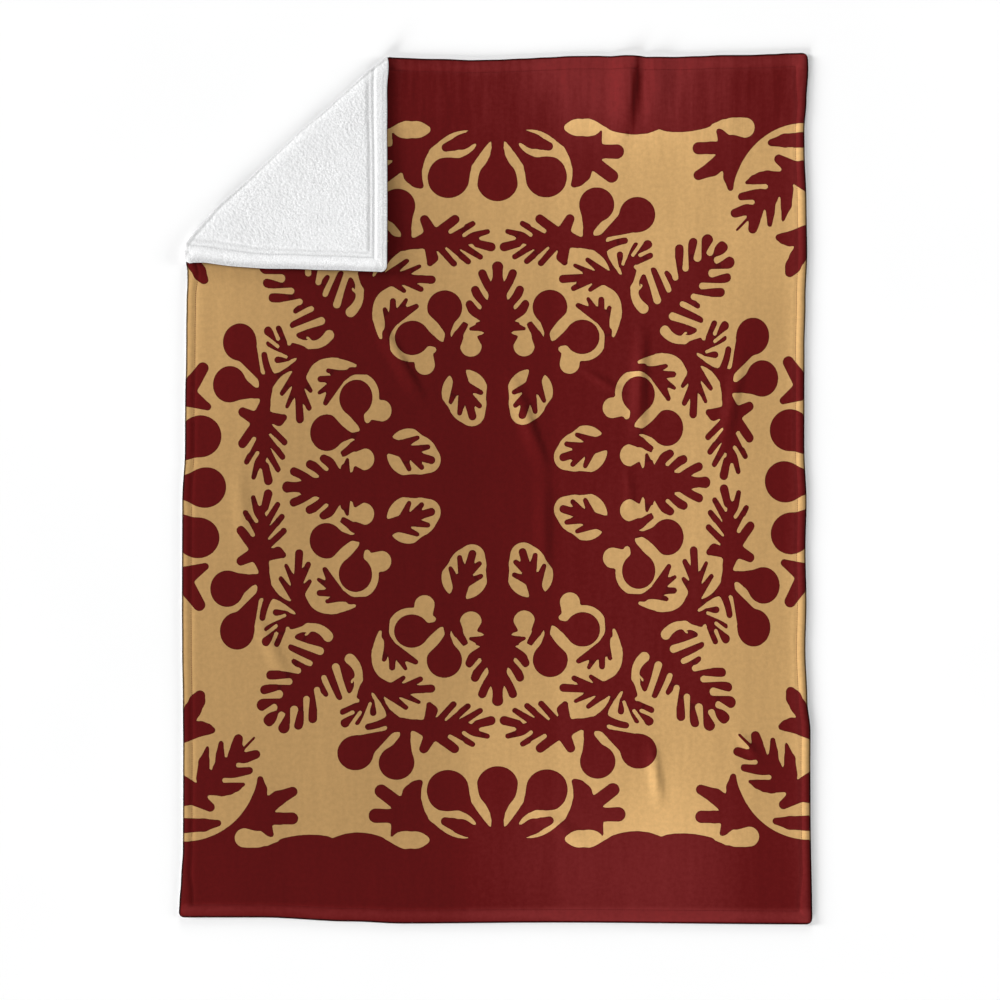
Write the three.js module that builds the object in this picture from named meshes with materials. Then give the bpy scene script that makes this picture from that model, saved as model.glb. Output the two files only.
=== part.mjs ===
// A two-layer throw quilt: a thin printed face on a thicker white fleece back, lying flat on a surface
// with its far left corner turned over onto the face in a soft roll.
// Millimetres, +Z up. +X runs to the right across the width, +Y runs up the length, away from the viewer.
import * as THREE from 'three';

// Driving dimensions of the cloth, as cut
const WIDTH = 1100;
const LENGTH = 1520;
const FACE_THICKNESS = 1.5;
const BACK_THICKNESS = 4;
const PLY_GAP = 0.3;

// The turned corner: where its fold meets the two edges, and where its tip lies,
// across from the left edge and down from the far edge
const FOLD_DOWN = 357;
const FOLD_ACROSS = 353;
const TIP_ACROSS = 353;
const TIP_DOWN = 377;
const TIP_ROUNDING = 4;

// The soft roll along the fold, measured on the line between the two plies
const ROLL_HALF_HEIGHT = 6;
const ROLL_DEPTH = 9;
const ROLL_CLOTH = 12;
const ROLL_STEPS = 3;
const ROLL_SLACK_REACH = 100;
const SETTLE_LENGTH = 46;
const FLAP_CLEARANCE = 1.4;
const TIP_LIFT = 6;

// How far the bow of the fold reaches into the lying cloth and into the flap
const BOW_REACH_LYING = 120;
const BOW_REACH_FLAP_END = 16;
const BOW_REACH_FLAP = 80;
const BOW_END_SPAN = 0.25;

// Mesh density: the cell size, the columns, the lines along the fold in the lying cloth by their distance
// from it, and those over the settling stretch by their share of it
const CELL = 46;
const COLUMNS = 24;
const LYING_LINES = [120, 66, 34];
const SETTLE_LINES = [0.28, 0.6, 1];

// A crease fades towards its ends: it is highest over the middle share of its run
const CREASE_END = 0.2;

// How far an uneven edge pulls the cloth beside it
const EDGE_REACH = 300;

// Finishes
const CRIMSON = 0x5e1616;
const PLUSH_ROUGHNESS = 0.85;
const WHITE = 0xf1f2f3;
const FLEECE_ROUGHNESS = 0.95;

// Bow of the fold, out past the straight line between its ends: along runs from the left edge to the far edge
const FOLD_BOW = [
  { along: 0, left: -3, up: 25 },
  { along: 0.06, left: 8.6, up: 13.6 },
  { along: 0.2, left: 15.9, up: 15.8 },
  { along: 0.39, left: 12, up: 11.9 },
  { along: 0.57, left: 9.7, up: 9.6 },
  { along: 0.75, left: 5.1, up: 5.1 },
  { along: 0.9, left: 4.1, up: 4.1 },
  { along: 1, left: 0, up: 0 },
];

// Each edge is drawn in, or let out where inward is negative.
// at runs down from the far edge on the sides, and from the left edge on the ends.
const LEFT_EDGE = [
  { at: 0, inward: 0 },
  { at: 105, inward: -1.6 },
  { at: 229, inward: -5.5 },
  { at: 317, inward: -1.6 },
  { at: 357, inward: 0 },
  { at: 724, inward: 1 },
  { at: 800, inward: -2 },
  { at: 883, inward: -2.7 },
  { at: 1000, inward: 0 },
  { at: 1166, inward: 3.6 },
  { at: 1413, inward: 6.1 },
  { at: 1520, inward: 0 },
];

const RIGHT_EDGE = [
  { at: 0, inward: 0 },
  { at: 156, inward: 7.6 },
  { at: 300, inward: 3 },
  { at: 483, inward: 6 },
  { at: 625, inward: 11 },
  { at: 749, inward: 7 },
  { at: 880, inward: 12 },
  { at: 961, inward: 7 },
  { at: 1067, inward: 8 },
  { at: 1227, inward: 0.7 },
  { at: 1330, inward: 2.7 },
  { at: 1520, inward: 0 },
];

const FAR_EDGE = [
  { at: 0, inward: 0 },
  { at: 353, inward: 0 },
  { at: 485, inward: 3.5 },
  { at: 609, inward: -1.8 },
  { at: 698, inward: -5.3 },
  { at: 752, inward: -3.5 },
  { at: 787, inward: -5.3 },
  { at: 849, inward: -1.8 },
  { at: 983, inward: -5.3 },
  { at: 1100, inward: -8.8 },
];

const NEAR_EDGE = [
  { at: 0, inward: 10 },
  { at: 138, inward: 10 },
  { at: 296, inward: 3 },
  { at: 384, inward: -0.5 },
  { at: 646, inward: 1.2 },
  { at: 1100, inward: -2 },
];

// Soft raised creases of the lying cloth, from one end to the other, measured from the quilt's middle
const CREASES = [
  { x1: 232, y1: 790, x2: 221, y2: 640, halfWidth: 34, height: 3.4 },
  { x1: 296, y1: 790, x2: 276, y2: 630, halfWidth: 34, height: 2.8 },
  { x1: -240, y1: 310, x2: -132, y2: 160, halfWidth: 36, height: 3 },
  { x1: 22, y1: 180, x2: 78, y2: 30, halfWidth: 34, height: 3 },
  { x1: 264, y1: 270, x2: 252, y2: 95, halfWidth: 36, height: 3.2 },
  { x1: 437, y1: 235, x2: 388, y2: 62, halfWidth: 36, height: 2.6 },
  { x1: 270, y1: -440, x2: 284, y2: -560, halfWidth: 34, height: 2.8 },
  { x1: 84, y1: 0, x2: 84, y2: -140, halfWidth: 34, height: 2 },
];

// Values that follow from the sizes above
const PLY_LINE = BACK_THICKNESS + PLY_GAP / 2;
const FLAP_RISE = 2 * (PLY_GAP / 2 + FACE_THICKNESS) + FLAP_CLEARANCE;
const FOLD_START = new THREE.Vector2(0, FOLD_DOWN);
const FOLD_END = new THREE.Vector2(FOLD_ACROSS, 0);
const FOLD_LENGTH = FOLD_START.distanceTo(FOLD_END);
const ALONG_FOLD = FOLD_END.clone().sub(FOLD_START).divideScalar(FOLD_LENGTH);
const INTO_CLOTH = new THREE.Vector2(-ALONG_FOLD.y, ALONG_FOLD.x);
const CORNER_DISTANCE = (FOLD_DOWN * FOLD_ACROSS) / FOLD_LENGTH;

function smooth(value) {
  const x = THREE.MathUtils.clamp(value, 0, 1);
  return x * x * (3 - 2 * x);
}

// Reads a column of a table at a place between its rows, easing from row to row
function readTable(rows, key, place, column) {
  if (place <= rows[0][key]) return rows[0][column];
  for (let i = 1; i < rows.length; i += 1) {
    if (place <= rows[i][key]) {
      const share = (place - rows[i - 1][key]) / (rows[i][key] - rows[i - 1][key]);
      return THREE.MathUtils.lerp(rows[i - 1][column], rows[i][column], smooth(share));
    }
  }
  return rows[rows.length - 1][column];
}

// Pulls the flat cloth to its uneven outline. across and down are measured from the far left corner.
function drawEdges(across, down) {
  const pull = (distance) => Math.max(0, 1 - distance / EDGE_REACH) ** 2;
  const fromLeft = readTable(LEFT_EDGE, 'at', down, 'inward') * pull(across);
  const fromRight = readTable(RIGHT_EDGE, 'at', down, 'inward') * pull(WIDTH - across);
  const fromFar = readTable(FAR_EDGE, 'at', across, 'inward') * pull(down);
  const fromNear = readTable(NEAR_EDGE, 'at', across, 'inward') * pull(LENGTH - down);
  const atTip = across === 0 && down === 0 ? TIP_ROUNDING : 0;
  return new THREE.Vector2(across + fromLeft - fromRight + atTip, down + fromFar - fromNear + atTip);
}

// Height of the creases over a point measured from the quilt's middle
function creaseHeight(x, y) {
  let height = 0;
  for (const crease of CREASES) {
    const run = new THREE.Vector2(crease.x2 - crease.x1, crease.y2 - crease.y1);
    const offset = new THREE.Vector2(x - crease.x1, y - crease.y1);
    const share = THREE.MathUtils.clamp(offset.dot(run) / run.lengthSq(), 0, 1);
    const aside = offset.sub(run.multiplyScalar(share)).length() / crease.halfWidth;
    const endFade = Math.sin(Math.PI * THREE.MathUtils.lerp(CREASE_END, 1 - CREASE_END, share));
    height = Math.max(height, crease.height * (1 - smooth(aside)) * endFade);
  }
  return height;
}

// Distance in from the fold, in plan, of cloth that lies a signed length from it
function distanceFromFold(length) {
  const beyond = Math.abs(length) - ROLL_CLOTH;
  if (beyond <= 0) return ROLL_DEPTH * (1 - Math.cos((Math.PI / 2) * (length / ROLL_CLOTH)));
  const slack = (ROLL_CLOTH - ROLL_DEPTH) * smooth(beyond / ROLL_SLACK_REACH);
  return ROLL_DEPTH + beyond + slack;
}

// Height of the line between the plies: low where the cloth lies, round through the roll, then down to the flap
function plyHeight(length) {
  if (length <= -ROLL_CLOTH) return PLY_LINE;
  if (length < ROLL_CLOTH) {
    const turn = (Math.PI / 2) * (length / ROLL_CLOTH);
    return PLY_LINE + ROLL_HALF_HEIGHT * (1 + Math.sin(turn));
  }
  const share = (length - ROLL_CLOTH) / (CORNER_DISTANCE - ROLL_CLOTH);
  const flapHeight = FLAP_RISE + TIP_LIFT * share * share;
  const settled = smooth((length - ROLL_CLOTH) / SETTLE_LENGTH);
  return PLY_LINE + THREE.MathUtils.lerp(2 * ROLL_HALF_HEIGHT, flapHeight, settled);
}

// Share of the fold's bow that cloth a signed length from it takes
function bowShare(length, along) {
  if (length < 0) return 1 - smooth(-length / BOW_REACH_LYING);
  const reach = THREE.MathUtils.lerp(BOW_REACH_FLAP_END, BOW_REACH_FLAP, smooth(along / BOW_END_SPAN));
  return 1 - smooth(length / reach);
}

// Where a point of the flat cloth lies, on the line between the two plies
function placeCloth(across, down) {
  const flat = drawEdges(across, down);
  const fromStart = flat.clone().sub(FOLD_START);
  const along = fromStart.dot(ALONG_FOLD) / FOLD_LENGTH;
  const length = -fromStart.dot(INTO_CLOTH);
  const plan = FOLD_START.clone();
  plan.addScaledVector(ALONG_FOLD, along * FOLD_LENGTH);
  plan.addScaledVector(INTO_CLOTH, distanceFromFold(length));
  if (length > 0) {
    const mirroredTip = new THREE.Vector2(
      (2 * FOLD_ACROSS * FOLD_DOWN * FOLD_DOWN) / FOLD_LENGTH ** 2,
      (2 * FOLD_DOWN * FOLD_ACROSS * FOLD_ACROSS) / FOLD_LENGTH ** 2,
    );
    const stretch = new THREE.Vector2(TIP_ACROSS, TIP_DOWN).sub(mirroredTip);
    plan.addScaledVector(stretch, length / CORNER_DISTANCE);
  }
  const bow = bowShare(length, along);
  plan.x -= readTable(FOLD_BOW, 'along', along, 'left') * bow;
  plan.y -= readTable(FOLD_BOW, 'along', along, 'up') * bow;
  const x = plan.x - WIDTH / 2;
  const y = LENGTH / 2 - plan.y;
  return new THREE.Vector3(x, y, plyHeight(length) + creaseHeight(x, y));
}

// Lines of the mesh that run along the fold, by their signed length from it, out to the corner's tip
function foldLines() {
  const lines = LYING_LINES.map((distance) => -distance);
  for (let i = -ROLL_STEPS; i <= ROLL_STEPS; i += 1) lines.push((ROLL_CLOTH * i) / ROLL_STEPS);
  for (const share of SETTLE_LINES) lines.push(ROLL_CLOTH + share * SETTLE_LENGTH);
  const flapStart = lines[lines.length - 1];
  const flapRows = Math.round((CORNER_DISTANCE - flapStart) / CELL);
  for (let i = 1; i <= flapRows; i += 1) {
    lines.push(THREE.MathUtils.lerp(flapStart, CORNER_DISTANCE, i / flapRows));
  }
  return lines.map((length) => length / CORNER_DISTANCE);
}

// Rows of flat points from the near edge to the far edge. Each row of the folded part starts with the points
// where it crosses the fold lines, counted back from the left edge, and every row ends with the same columns.
function clothRows() {
  const lines = foldLines();
  const foldRowsStart = FOLD_DOWN * (1 - lines[0]);
  const plainRows = Math.round((LENGTH - foldRowsStart) / CELL);
  const rows = [];
  for (let i = 0; i < plainRows; i += 1) {
    rows.push({ down: THREE.MathUtils.lerp(LENGTH, foldRowsStart, i / plainRows), crossings: [0] });
  }
  lines.forEach((line, row) => {
    const crossings = lines.slice(0, row + 1).map((crossed) => FOLD_ACROSS * (line - crossed));
    rows.push({ down: FOLD_DOWN * (1 - line), crossings: crossings.reverse() });
  });
  for (const row of rows) {
    const start = row.crossings[row.crossings.length - 1];
    row.columns = [];
    for (let i = 1; i <= COLUMNS; i += 1) {
      row.columns.push(THREE.MathUtils.lerp(start, WIDTH, i / COLUMNS));
    }
  }
  return rows;
}

// The line between the plies as one mesh: points, and triangles that face up where the cloth lies
function plyMesh() {
  const points = [];
  const rows = clothRows().map((row) => {
    const indices = [];
    for (const across of [...row.crossings, ...row.columns]) {
      indices.push(points.length);
      points.push(placeCloth(across, row.down));
    }
    return indices;
  });
  const triangles = [];
  for (let i = 1; i < rows.length; i += 1) {
    const near = rows[i - 1];
    const far = rows[i];
    const extra = far.length - near.length;
    if (extra > 0) triangles.push([near[0], far[1], far[0]]);
    for (let j = 0; j < near.length - 1; j += 1) {
      const farJ = j + extra;
      triangles.push([near[j], near[j + 1], far[farJ + 1]]);
      triangles.push([near[j], far[farJ + 1], far[farJ]]);
    }
  }
  return { points, triangles };
}

function pointNormals({ points, triangles }) {
  const normals = points.map(() => new THREE.Vector3());
  for (const [a, b, c] of triangles) {
    const side = points[b].clone().sub(points[a]);
    const normal = side.cross(points[c].clone().sub(points[a]));
    for (const corner of [a, b, c]) normals[corner].add(normal);
  }
  return normals.map((normal) => normal.normalize());
}

// One ply: a closed sheet between two heights over the line between the plies
function plySolid(mesh, normals, low, high) {
  const count = mesh.points.length;
  const positions = [];
  for (const height of [low, high]) {
    mesh.points.forEach((point, i) => {
      const moved = point.clone().addScaledVector(normals[i], height);
      positions.push(moved.x, moved.y, moved.z);
    });
  }
  const faces = [];
  const sides = new Map();
  for (const [a, b, c] of mesh.triangles) {
    faces.push(c, b, a);
    faces.push(a + count, b + count, c + count);
    for (const [from, to] of [[a, b], [b, c], [c, a]]) {
      if (sides.has(`${to}_${from}`)) sides.delete(`${to}_${from}`);
      else sides.set(`${from}_${to}`, [from, to]);
    }
  }
  for (const [from, to] of sides.values()) {
    faces.push(from, to, to + count);
    faces.push(from, to + count, from + count);
  }
  const geometry = new THREE.BufferGeometry();
  geometry.setAttribute('position', new THREE.Float32BufferAttribute(positions, 3));
  geometry.setIndex(faces);
  geometry.computeVertexNormals();
  return geometry;
}

// The printed plush face, on the upper side of the line between the plies where the cloth lies
function facePanel(mesh, normals) {
  const low = PLY_GAP / 2;
  const plush = new THREE.MeshStandardMaterial({ color: CRIMSON, roughness: PLUSH_ROUGHNESS, metalness: 0 });
  const panel = new THREE.Mesh(plySolid(mesh, normals, low, low + FACE_THICKNESS), plush);
  panel.name = 'face_panel';
  return panel;
}

// The white fleece back, on the lower side
function backPanel(mesh, normals) {
  const high = -PLY_GAP / 2;
  const fleece = new THREE.MeshStandardMaterial({ color: WHITE, roughness: FLEECE_ROUGHNESS, metalness: 0 });
  const panel = new THREE.Mesh(plySolid(mesh, normals, high - BACK_THICKNESS, high), fleece);
  panel.name = 'back_panel';
  return panel;
}

const cloth = plyMesh();
const clothNormals = pointNormals(cloth);
const quilt = new THREE.Group();
quilt.add(facePanel(cloth, clothNormals));
quilt.add(backPanel(cloth, clothNormals));

// The origin is under the middle of the quilt, on the surface that it lies on
const extent = new THREE.Box3().setFromObject(quilt);
const middle = extent.getCenter(new THREE.Vector3());
for (const ply of quilt.children) ply.position.set(-middle.x, -middle.y, -extent.min.z);

export default quilt;
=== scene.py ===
import math

import bpy
import numpy as np
from bpy.props import FloatProperty, FloatVectorProperty, PointerProperty
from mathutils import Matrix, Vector
from mathutils.geometry import delaunay_2d_cdt


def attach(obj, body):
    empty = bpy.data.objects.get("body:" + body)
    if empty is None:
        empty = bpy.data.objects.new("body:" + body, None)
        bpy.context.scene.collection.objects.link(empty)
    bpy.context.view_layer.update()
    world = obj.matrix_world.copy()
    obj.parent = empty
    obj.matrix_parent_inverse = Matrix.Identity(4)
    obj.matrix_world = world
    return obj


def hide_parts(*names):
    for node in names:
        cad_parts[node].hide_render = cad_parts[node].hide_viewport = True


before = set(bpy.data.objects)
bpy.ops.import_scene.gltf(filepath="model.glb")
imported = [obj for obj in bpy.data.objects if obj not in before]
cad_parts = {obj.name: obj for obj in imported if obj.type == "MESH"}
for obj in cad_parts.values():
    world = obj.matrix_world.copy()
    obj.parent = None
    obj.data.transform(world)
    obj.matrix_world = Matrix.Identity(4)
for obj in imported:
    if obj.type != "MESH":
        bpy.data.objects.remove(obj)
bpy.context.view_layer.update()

bl_info = {
    "name": "Throw quilt with a turned corner",
    "version": (1, 0, 0),
    "blender": (4, 5, 0),
    "location": "3D View > Sidebar > Quilt",
    "description": "A two-layer fleece throw quilt with a leaf and fruit print, one corner turned over",
    "category": "Add Mesh",
}

# The cloth is worked out in millimetres and made in metres.
# Flat places are measured across from the left edge and down from the far edge.
METRE = 1000
WIDTH = 1100
LENGTH = 1520
FACE_THICKNESS = 1.5
BACK_THICKNESS = 4
PLY_GAP = 0.3
PLY_LINE = BACK_THICKNESS + PLY_GAP / 2

# The hem: its band of the mesh, and how much nearer the edge its seam runs on the left and on the right
HEM_BAND = 30
LEFT_HEM_SHIFT = 7
RIGHT_HEM_SHIFT = 6
HEM_CHANGE = 60
# The stitches' groove on the face, as a share of the back's
FACE_GROOVE_SHARE = 0.65

# The turned corner: where its fold meets the two edges, and where its tip lies
FOLD_DOWN = 357
FOLD_ACROSS = 353
TIP_ACROSS = 355.5
TIP_DOWN = 381
FOLD_LENGTH = math.hypot(FOLD_ACROSS, FOLD_DOWN)
CORNER_DISTANCE = FOLD_ACROSS * FOLD_DOWN / FOLD_LENGTH

# The soft roll along the fold, and how the flap comes down from it
ROLL_HALF_HEIGHT = 2.8
ROLL_DEPTH = 9
ROLL_CLOTH = 12
ROLL_SLACK_REACH = 100
SETTLE_LENGTH = 90
FLAP_CLEARANCE = 1.4
FLAP_RISE = 2 * (PLY_GAP / 2 + FACE_THICKNESS) + FLAP_CLEARANCE
TIP_LIFT = 6

# How far the bow of the fold reaches into the lying cloth and into the flap
BOW_REACH_LYING = 120
BOW_REACH_FLAP_END = 60
BOW_REACH_FLAP = 80
BOW_END_SPAN = 0.25

# How far an uneven edge pulls the cloth beside it
EDGE_REACH = 300

# The shift that brings the outline's middle to the CAD model's
CENTRE_RIGHT = 1.4
CENTRE_UP = -3.4

# Bow of the fold: share of the way along it, then how far it goes left and up
FOLD_BOW = [
    (0, 0, -5),
    (0.03, 8, 2),
    (0.06, 17, 6.5),
    (0.1, 18.5, 8.5),
    (0.15, 16.5, 12.5),
    (0.2, 15.9, 15.8),
    (0.39, 12, 11.9),
    (0.57, 9.7, 9.6),
    (0.75, 5.1, 5.1),
    (0.9, 2, 4.1),
    (1, -2.5, 1),
]

# Each edge: place along it, then how far it is drawn in there
LEFT_EDGE = [
    (0, 0), (60, -1), (141, -3.6), (229, -7), (282, -7.5), (317, -7), (335, -7), (348, -5),
    (357, 4), (375, 6.5), (395, 6.5), (430, 4.6), (483, 3.2), (536, 3), (606, 1.8), (694, 2),
    (782, -2.2), (870, -2.1), (958, -1.8), (1046, -0.9), (1134, 0.9), (1221, 1.9), (1309, 2.3),
    (1397, 2.4), (1450, -0.4), (1494, -3), (1520, -4.4),
]
RIGHT_EDGE = [
    (0, 0.6), (26, 0), (79, 3.5), (130, 7.6), (167, 7.4), (255, 4.6), (342, 3.8), (430, 7.2),
    (518, 9.6), (606, 10.2), (694, 10.8), (782, 7.4), (870, 9.8), (958, 8.6), (1046, 10.9),
    (1134, 8), (1186, 2.8), (1257, 3.4), (1330, 3.5), (1520, 1.5),
]
FAR_EDGE = [
    (0, 0), (120, -1), (220, -1), (289, -3.2), (330, -4.5), (345, -4), (353, -1), (362, 1.5),
    (420, 2.6), (462, 2), (505, 3), (550, 2.1), (595, 0.1), (638, -2), (683, -4.4), (727, -4.8),
    (752, -3.9), (775, -5.2), (800, -4.8), (818, -2.4), (860, -2.6), (905, -4.1), (950, -6.1),
    (994, -6.2), (1039, -7.8), (1065, -9.4), (1100, -10),
]
NEAR_EDGE = [
    (0, 10), (138, 10), (296, 3), (384, -0.5), (646, 1.2), (1100, -2),
]

# Creases of the lying cloth from far to near, measured from the quilt's middle:
# x, y at the far end, x, y at the near end, half width to the left, half width to the right, height
CREASES = [
    (243, 800, 231, 640, 50, 14, 5.6),
    (282, 800, 273, 655, 25, 44, 3.6),
    (-205, 290, -132, 160, 26, 10, 2.8),
    (30, 190, 86, 34, 26, 12, 3.2),
    (256, 272, 250, 96, 22, 15, 4.2),
    (434, 232, 398, 62, 20, 14, 2.6),
    (156, 204, 216, 170, 12, 9, 2.2),
    (272, -450, 284, -550, 18, 12, 3.0),
    (424, -430, 456, -474, 14, 10, 2.2),
    (84, 20, 84, -150, 24, 15, 2.0),
    (232, 30, 236, -40, 14, 7, 1.6),
    (-420, -230, -370, -330, 22, 16, 1.6),
    (-452, 30, -440, -110, 24, 18, 1.4),
    (60, -560, 150, -620, 20, 20, 1.8),
    (-172, 640, -108, 652, 10, 12, 1.2),
]
# How far into its rise and fall a crease starts and stops, as a share of its length
CREASE_END = 0.08

# Light and dark stripes across the pile, partly its nap and partly painted light and shade standing in for
# broad shallow folds: place across, then share of the print's own colour
NAP_AND_PAINTED_LIGHT_STRIPES = [
    (0, 0.9), (38, 0.86), (108, 0.84), (180, 0.81), (250, 0.82), (390, 0.80), (460, 0.81),
    (531, 0.88), (635, 0.91), (668, 1.02), (741, 1.04), (812, 1.08), (882, 1.08), (942, 1.02),
    (1010, 0.93), (1050, 0.95), (1080, 1.08), (1100, 1.08),
]
# Lighter and darker patches, partly the pile's nap and partly painted light and shade, with painted shade in
# the far crease's valley: x, y from the middle, half width, half height and change
NAP_AND_PAINTED_LIGHT_PATCHES = [
    (215, 720, 210, 150, 0.36),
    (85, 730, 75, 50, 0.10),
    (474, 700, 80, 110, -0.10),
    (0, 800, 1500, 330, 0.3),
    (-60, 500, 360, 280, 0.1),
    (480, 470, 120, 200, 0.15),
    (-530, 300, 270, 340, 0.12),
    (20, -520, 260, 300, 0.15),
    (255, -680, 360, 250, 0.24),
    (0, -700, 330, 220, 0.1),
    (-300, -700, 300, 120, 0.06),
    (249, 712, 15, 80, -0.5),
    (240, 665, 10, 70, -0.35),
]
# Painted light and shade on the creases: flanks that face left are painted lighter and those that face right
# darker, by their slope, within these bounds
CREASE_PAINTED_LIGHT = 0.7
LEAST_CREASE_PAINTED_LIGHT = 0.45
MOST_CREASE_PAINTED_LIGHT = 1.5
SLOPE_STEP = 2
# Painted light on the raised hem band on the left, right, far and near sides
HEM_PAINTED_LIGHT = (0.06, 0.12, 0.2, 0.5)
HEM_PAINTED_LIGHT_REACH = 28
# Painted shade where the cloth's left and right edges roll down
LEFT_RIM_PAINTED_SHADE = 0.3
LEFT_RIM_REACH = 10
RIGHT_RIM_PAINTED_SHADE = 0.3
RIGHT_RIM_REACH = 9
MOST_TONE = 1.62

# The rim: the cloth rolls down to its seam over this width, by this much, and the back thins to this share
RIM_WIDTH = 7
RIM_SHARE = 0.62
RIM_DROP = BACK_THICKNESS * (1 - RIM_SHARE)
RIM_BULGE_FACE = 1.1
RIM_BULGE_BACK = 0.7
CORNER_RADIUS = 10
CORNER_STEPS = 6

# Mesh spacing
PRINT_CELL = 3
FACE_CELL = 7
HIDDEN_CELL = 12
BACK_CELL = 9
FLAP_CELL = 1.6
RIM_STEP = 6
ROLL_ROWS = 3
ROLL_STEP = 8
ROLL_BAND = 16

# Print. Its tables are in squares of a chart, measured from the print's middle.
PRINT_SQUARE = 1.766
PRINT_ACROSS = -0.1
PRINT_UP = 7.1
PRINT_SQUEEZE = 0.954
PRINT_STRETCH = 1.006
PRINT_SLANT = 0.006
PRINT_ROUNDING = 2

# The printed cloth is not quite even: place down or across, then how far the print is pulled down or right
PULL_DOWN = [
    (0, 0.5), (130, 0.5), (340, 0), (550, 0.5), (765, 0.5), (975, -0.5), (1080, -0.9), (1186, -2.1),
    (1292, -4.9), (1397, -5.8), (1520, -6),
]
PULL_RIGHT = [
    (0, 0), (80, 0), (200, -1.2), (320, -0.9), (450, 0), (570, 1), (695, 0.6), (820, 1), (940, -0.3),
    (1100, 0.3),
]
# Further pulls down, even over a patch's inner half: place across and down, half width, half height and pull
PULL_PATCHES = [
    (90, 520, 300, 420, 4.6),
    (400, 800, 240, 260, 3.6),
]
PRINT_OUTSIDE = 40
STROKE_PIECES = 6
STROKE_REACH = 14
OUTLINE_CLAMP = 0.12
LEAST_DEPTH = 0.6
LEAST_SPINE = 1.0

# Each stroke: x, y and radius at its start, x, y and radius at its end, and how far it bends to its left.
# The medallion is drawn in one eighth, beside the upright axis, and repeated round the middle.
MEDALLION = {
    "body": [
        (0, 0, 150, 0, 1, 150, 0),
        (60, 63, 60, 112, 118, 36, 0),
        (112, 118, 36, 148, 158, 20, 0),
        (148, 160, 21, 118, 194, 9, 0),
    ],
    "upright leaf": [
        (0, 120, 13, 0, 172, 12, 0),
        (0, 172, 12, 0, 216, 3, 0),
        (0, 200, 3, 0, 216.5, 5.6, 0),
        (3, 188, 4, 15, 210, 4.2, -1),
        (5, 170, 6, 22, 193.5, 4.2, -2),
        (8, 158, 8, 27, 179, 4.5, -2),
    ],
    "first fruit": [
        (52, 176, 17.3, 52, 176, 17.3, 0),
        (52, 172, 14, 50, 149, 3.2, 0),
        (50, 149, 3.2, 48, 134, 4, 0),
        (31.5, 160, 3, 38.5, 148, 4.8, 0),
        (38.5, 148, 4.8, 44, 132, 9, 0),
    ],
    "side branch": [
        (124, 190, 10, 117, 207, 4.2, 0),
        (117, 207, 4.2, 109, 219, 3.6, 0),
        (109, 219, 3.6, 104, 229, 4.3, 0),
        (104, 229, 4.3, 99, 239, 7, 0),
    ],
    "side leaf": [
        (104, 240, 8, 82, 240, 5.5, 0),
        (82, 240, 5.5, 66, 245, 9, 0),
        (66, 245, 9, 42, 245, 8.0, 0),
        (42, 245, 8.0, 22, 244, 3.6, 0),
        (40, 244, 4.6, 10, 252, 2.6, 0),
        (48, 246, 4.6, 24.5, 260, 2.8, 0),
        (60, 250, 5.4, 42, 264.5, 4.6, 0),
        (64, 248, 7, 72, 264.5, 4.6, 0),
        (20, 240, 4.0, 6.5, 236.5, 4.6, 0),
        (38, 240, 3.8, 17, 226.5, 2.8, 0),
        (50, 240, 3.8, 29, 222, 3, 0),
        (60, 240, 4, 43, 220, 3.2, 0),
        (68, 240, 5, 64.4, 226, 5.6, 0),
        (64.4, 226, 5.6, 66.6, 220.6, 3.2, 0),
    ],
    "outer fruits": [
        (98.6, 278.5, 17.4, 98.6, 278.5, 17.4, 0),
        (96, 273, 14, 90, 252, 4.8, 0),
        (90, 252, 4.8, 90, 238, 6, 0),
        (138.8, 268.2, 17.8, 138.8, 268.2, 17.8, 0),
        (132, 262, 13, 106, 243, 6, 0),
    ],
    "sprig": [
        (127, 200, 8, 132, 217, 6.5, 0),
        (127, 206, 5, 121.5, 228, 3.3, 0),
        (131, 212, 6, 137.5, 237, 3.3, 1),
        (136, 221, 3.6, 149, 238, 4.6, 0),
        (136, 221, 4, 151, 227, 3.4, 0),
    ],
    "long leaf": [
        (140, 147, 14, 200, 210, 9, 0),
        (200, 210, 9, 216, 227, 5, 0),
        (204, 216, 5, 224, 236.5, 4.5, 0),
        (196, 212, 8, 209.5, 242.5, 5.6, 2),
        (190, 204, 7, 195, 240, 4.5, 1),
        (184, 196, 8, 181, 233.5, 4.6, 0),
        (178, 194, 5, 168, 209, 2.8, 0),
        (168, 180, 8, 154.5, 210.5, 4.6, 0),
        (156, 166, 8, 147, 190, 7, 0),
        (147, 190, 7, 143.5, 204.5, 4.4, 0),
    ],
}
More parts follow.
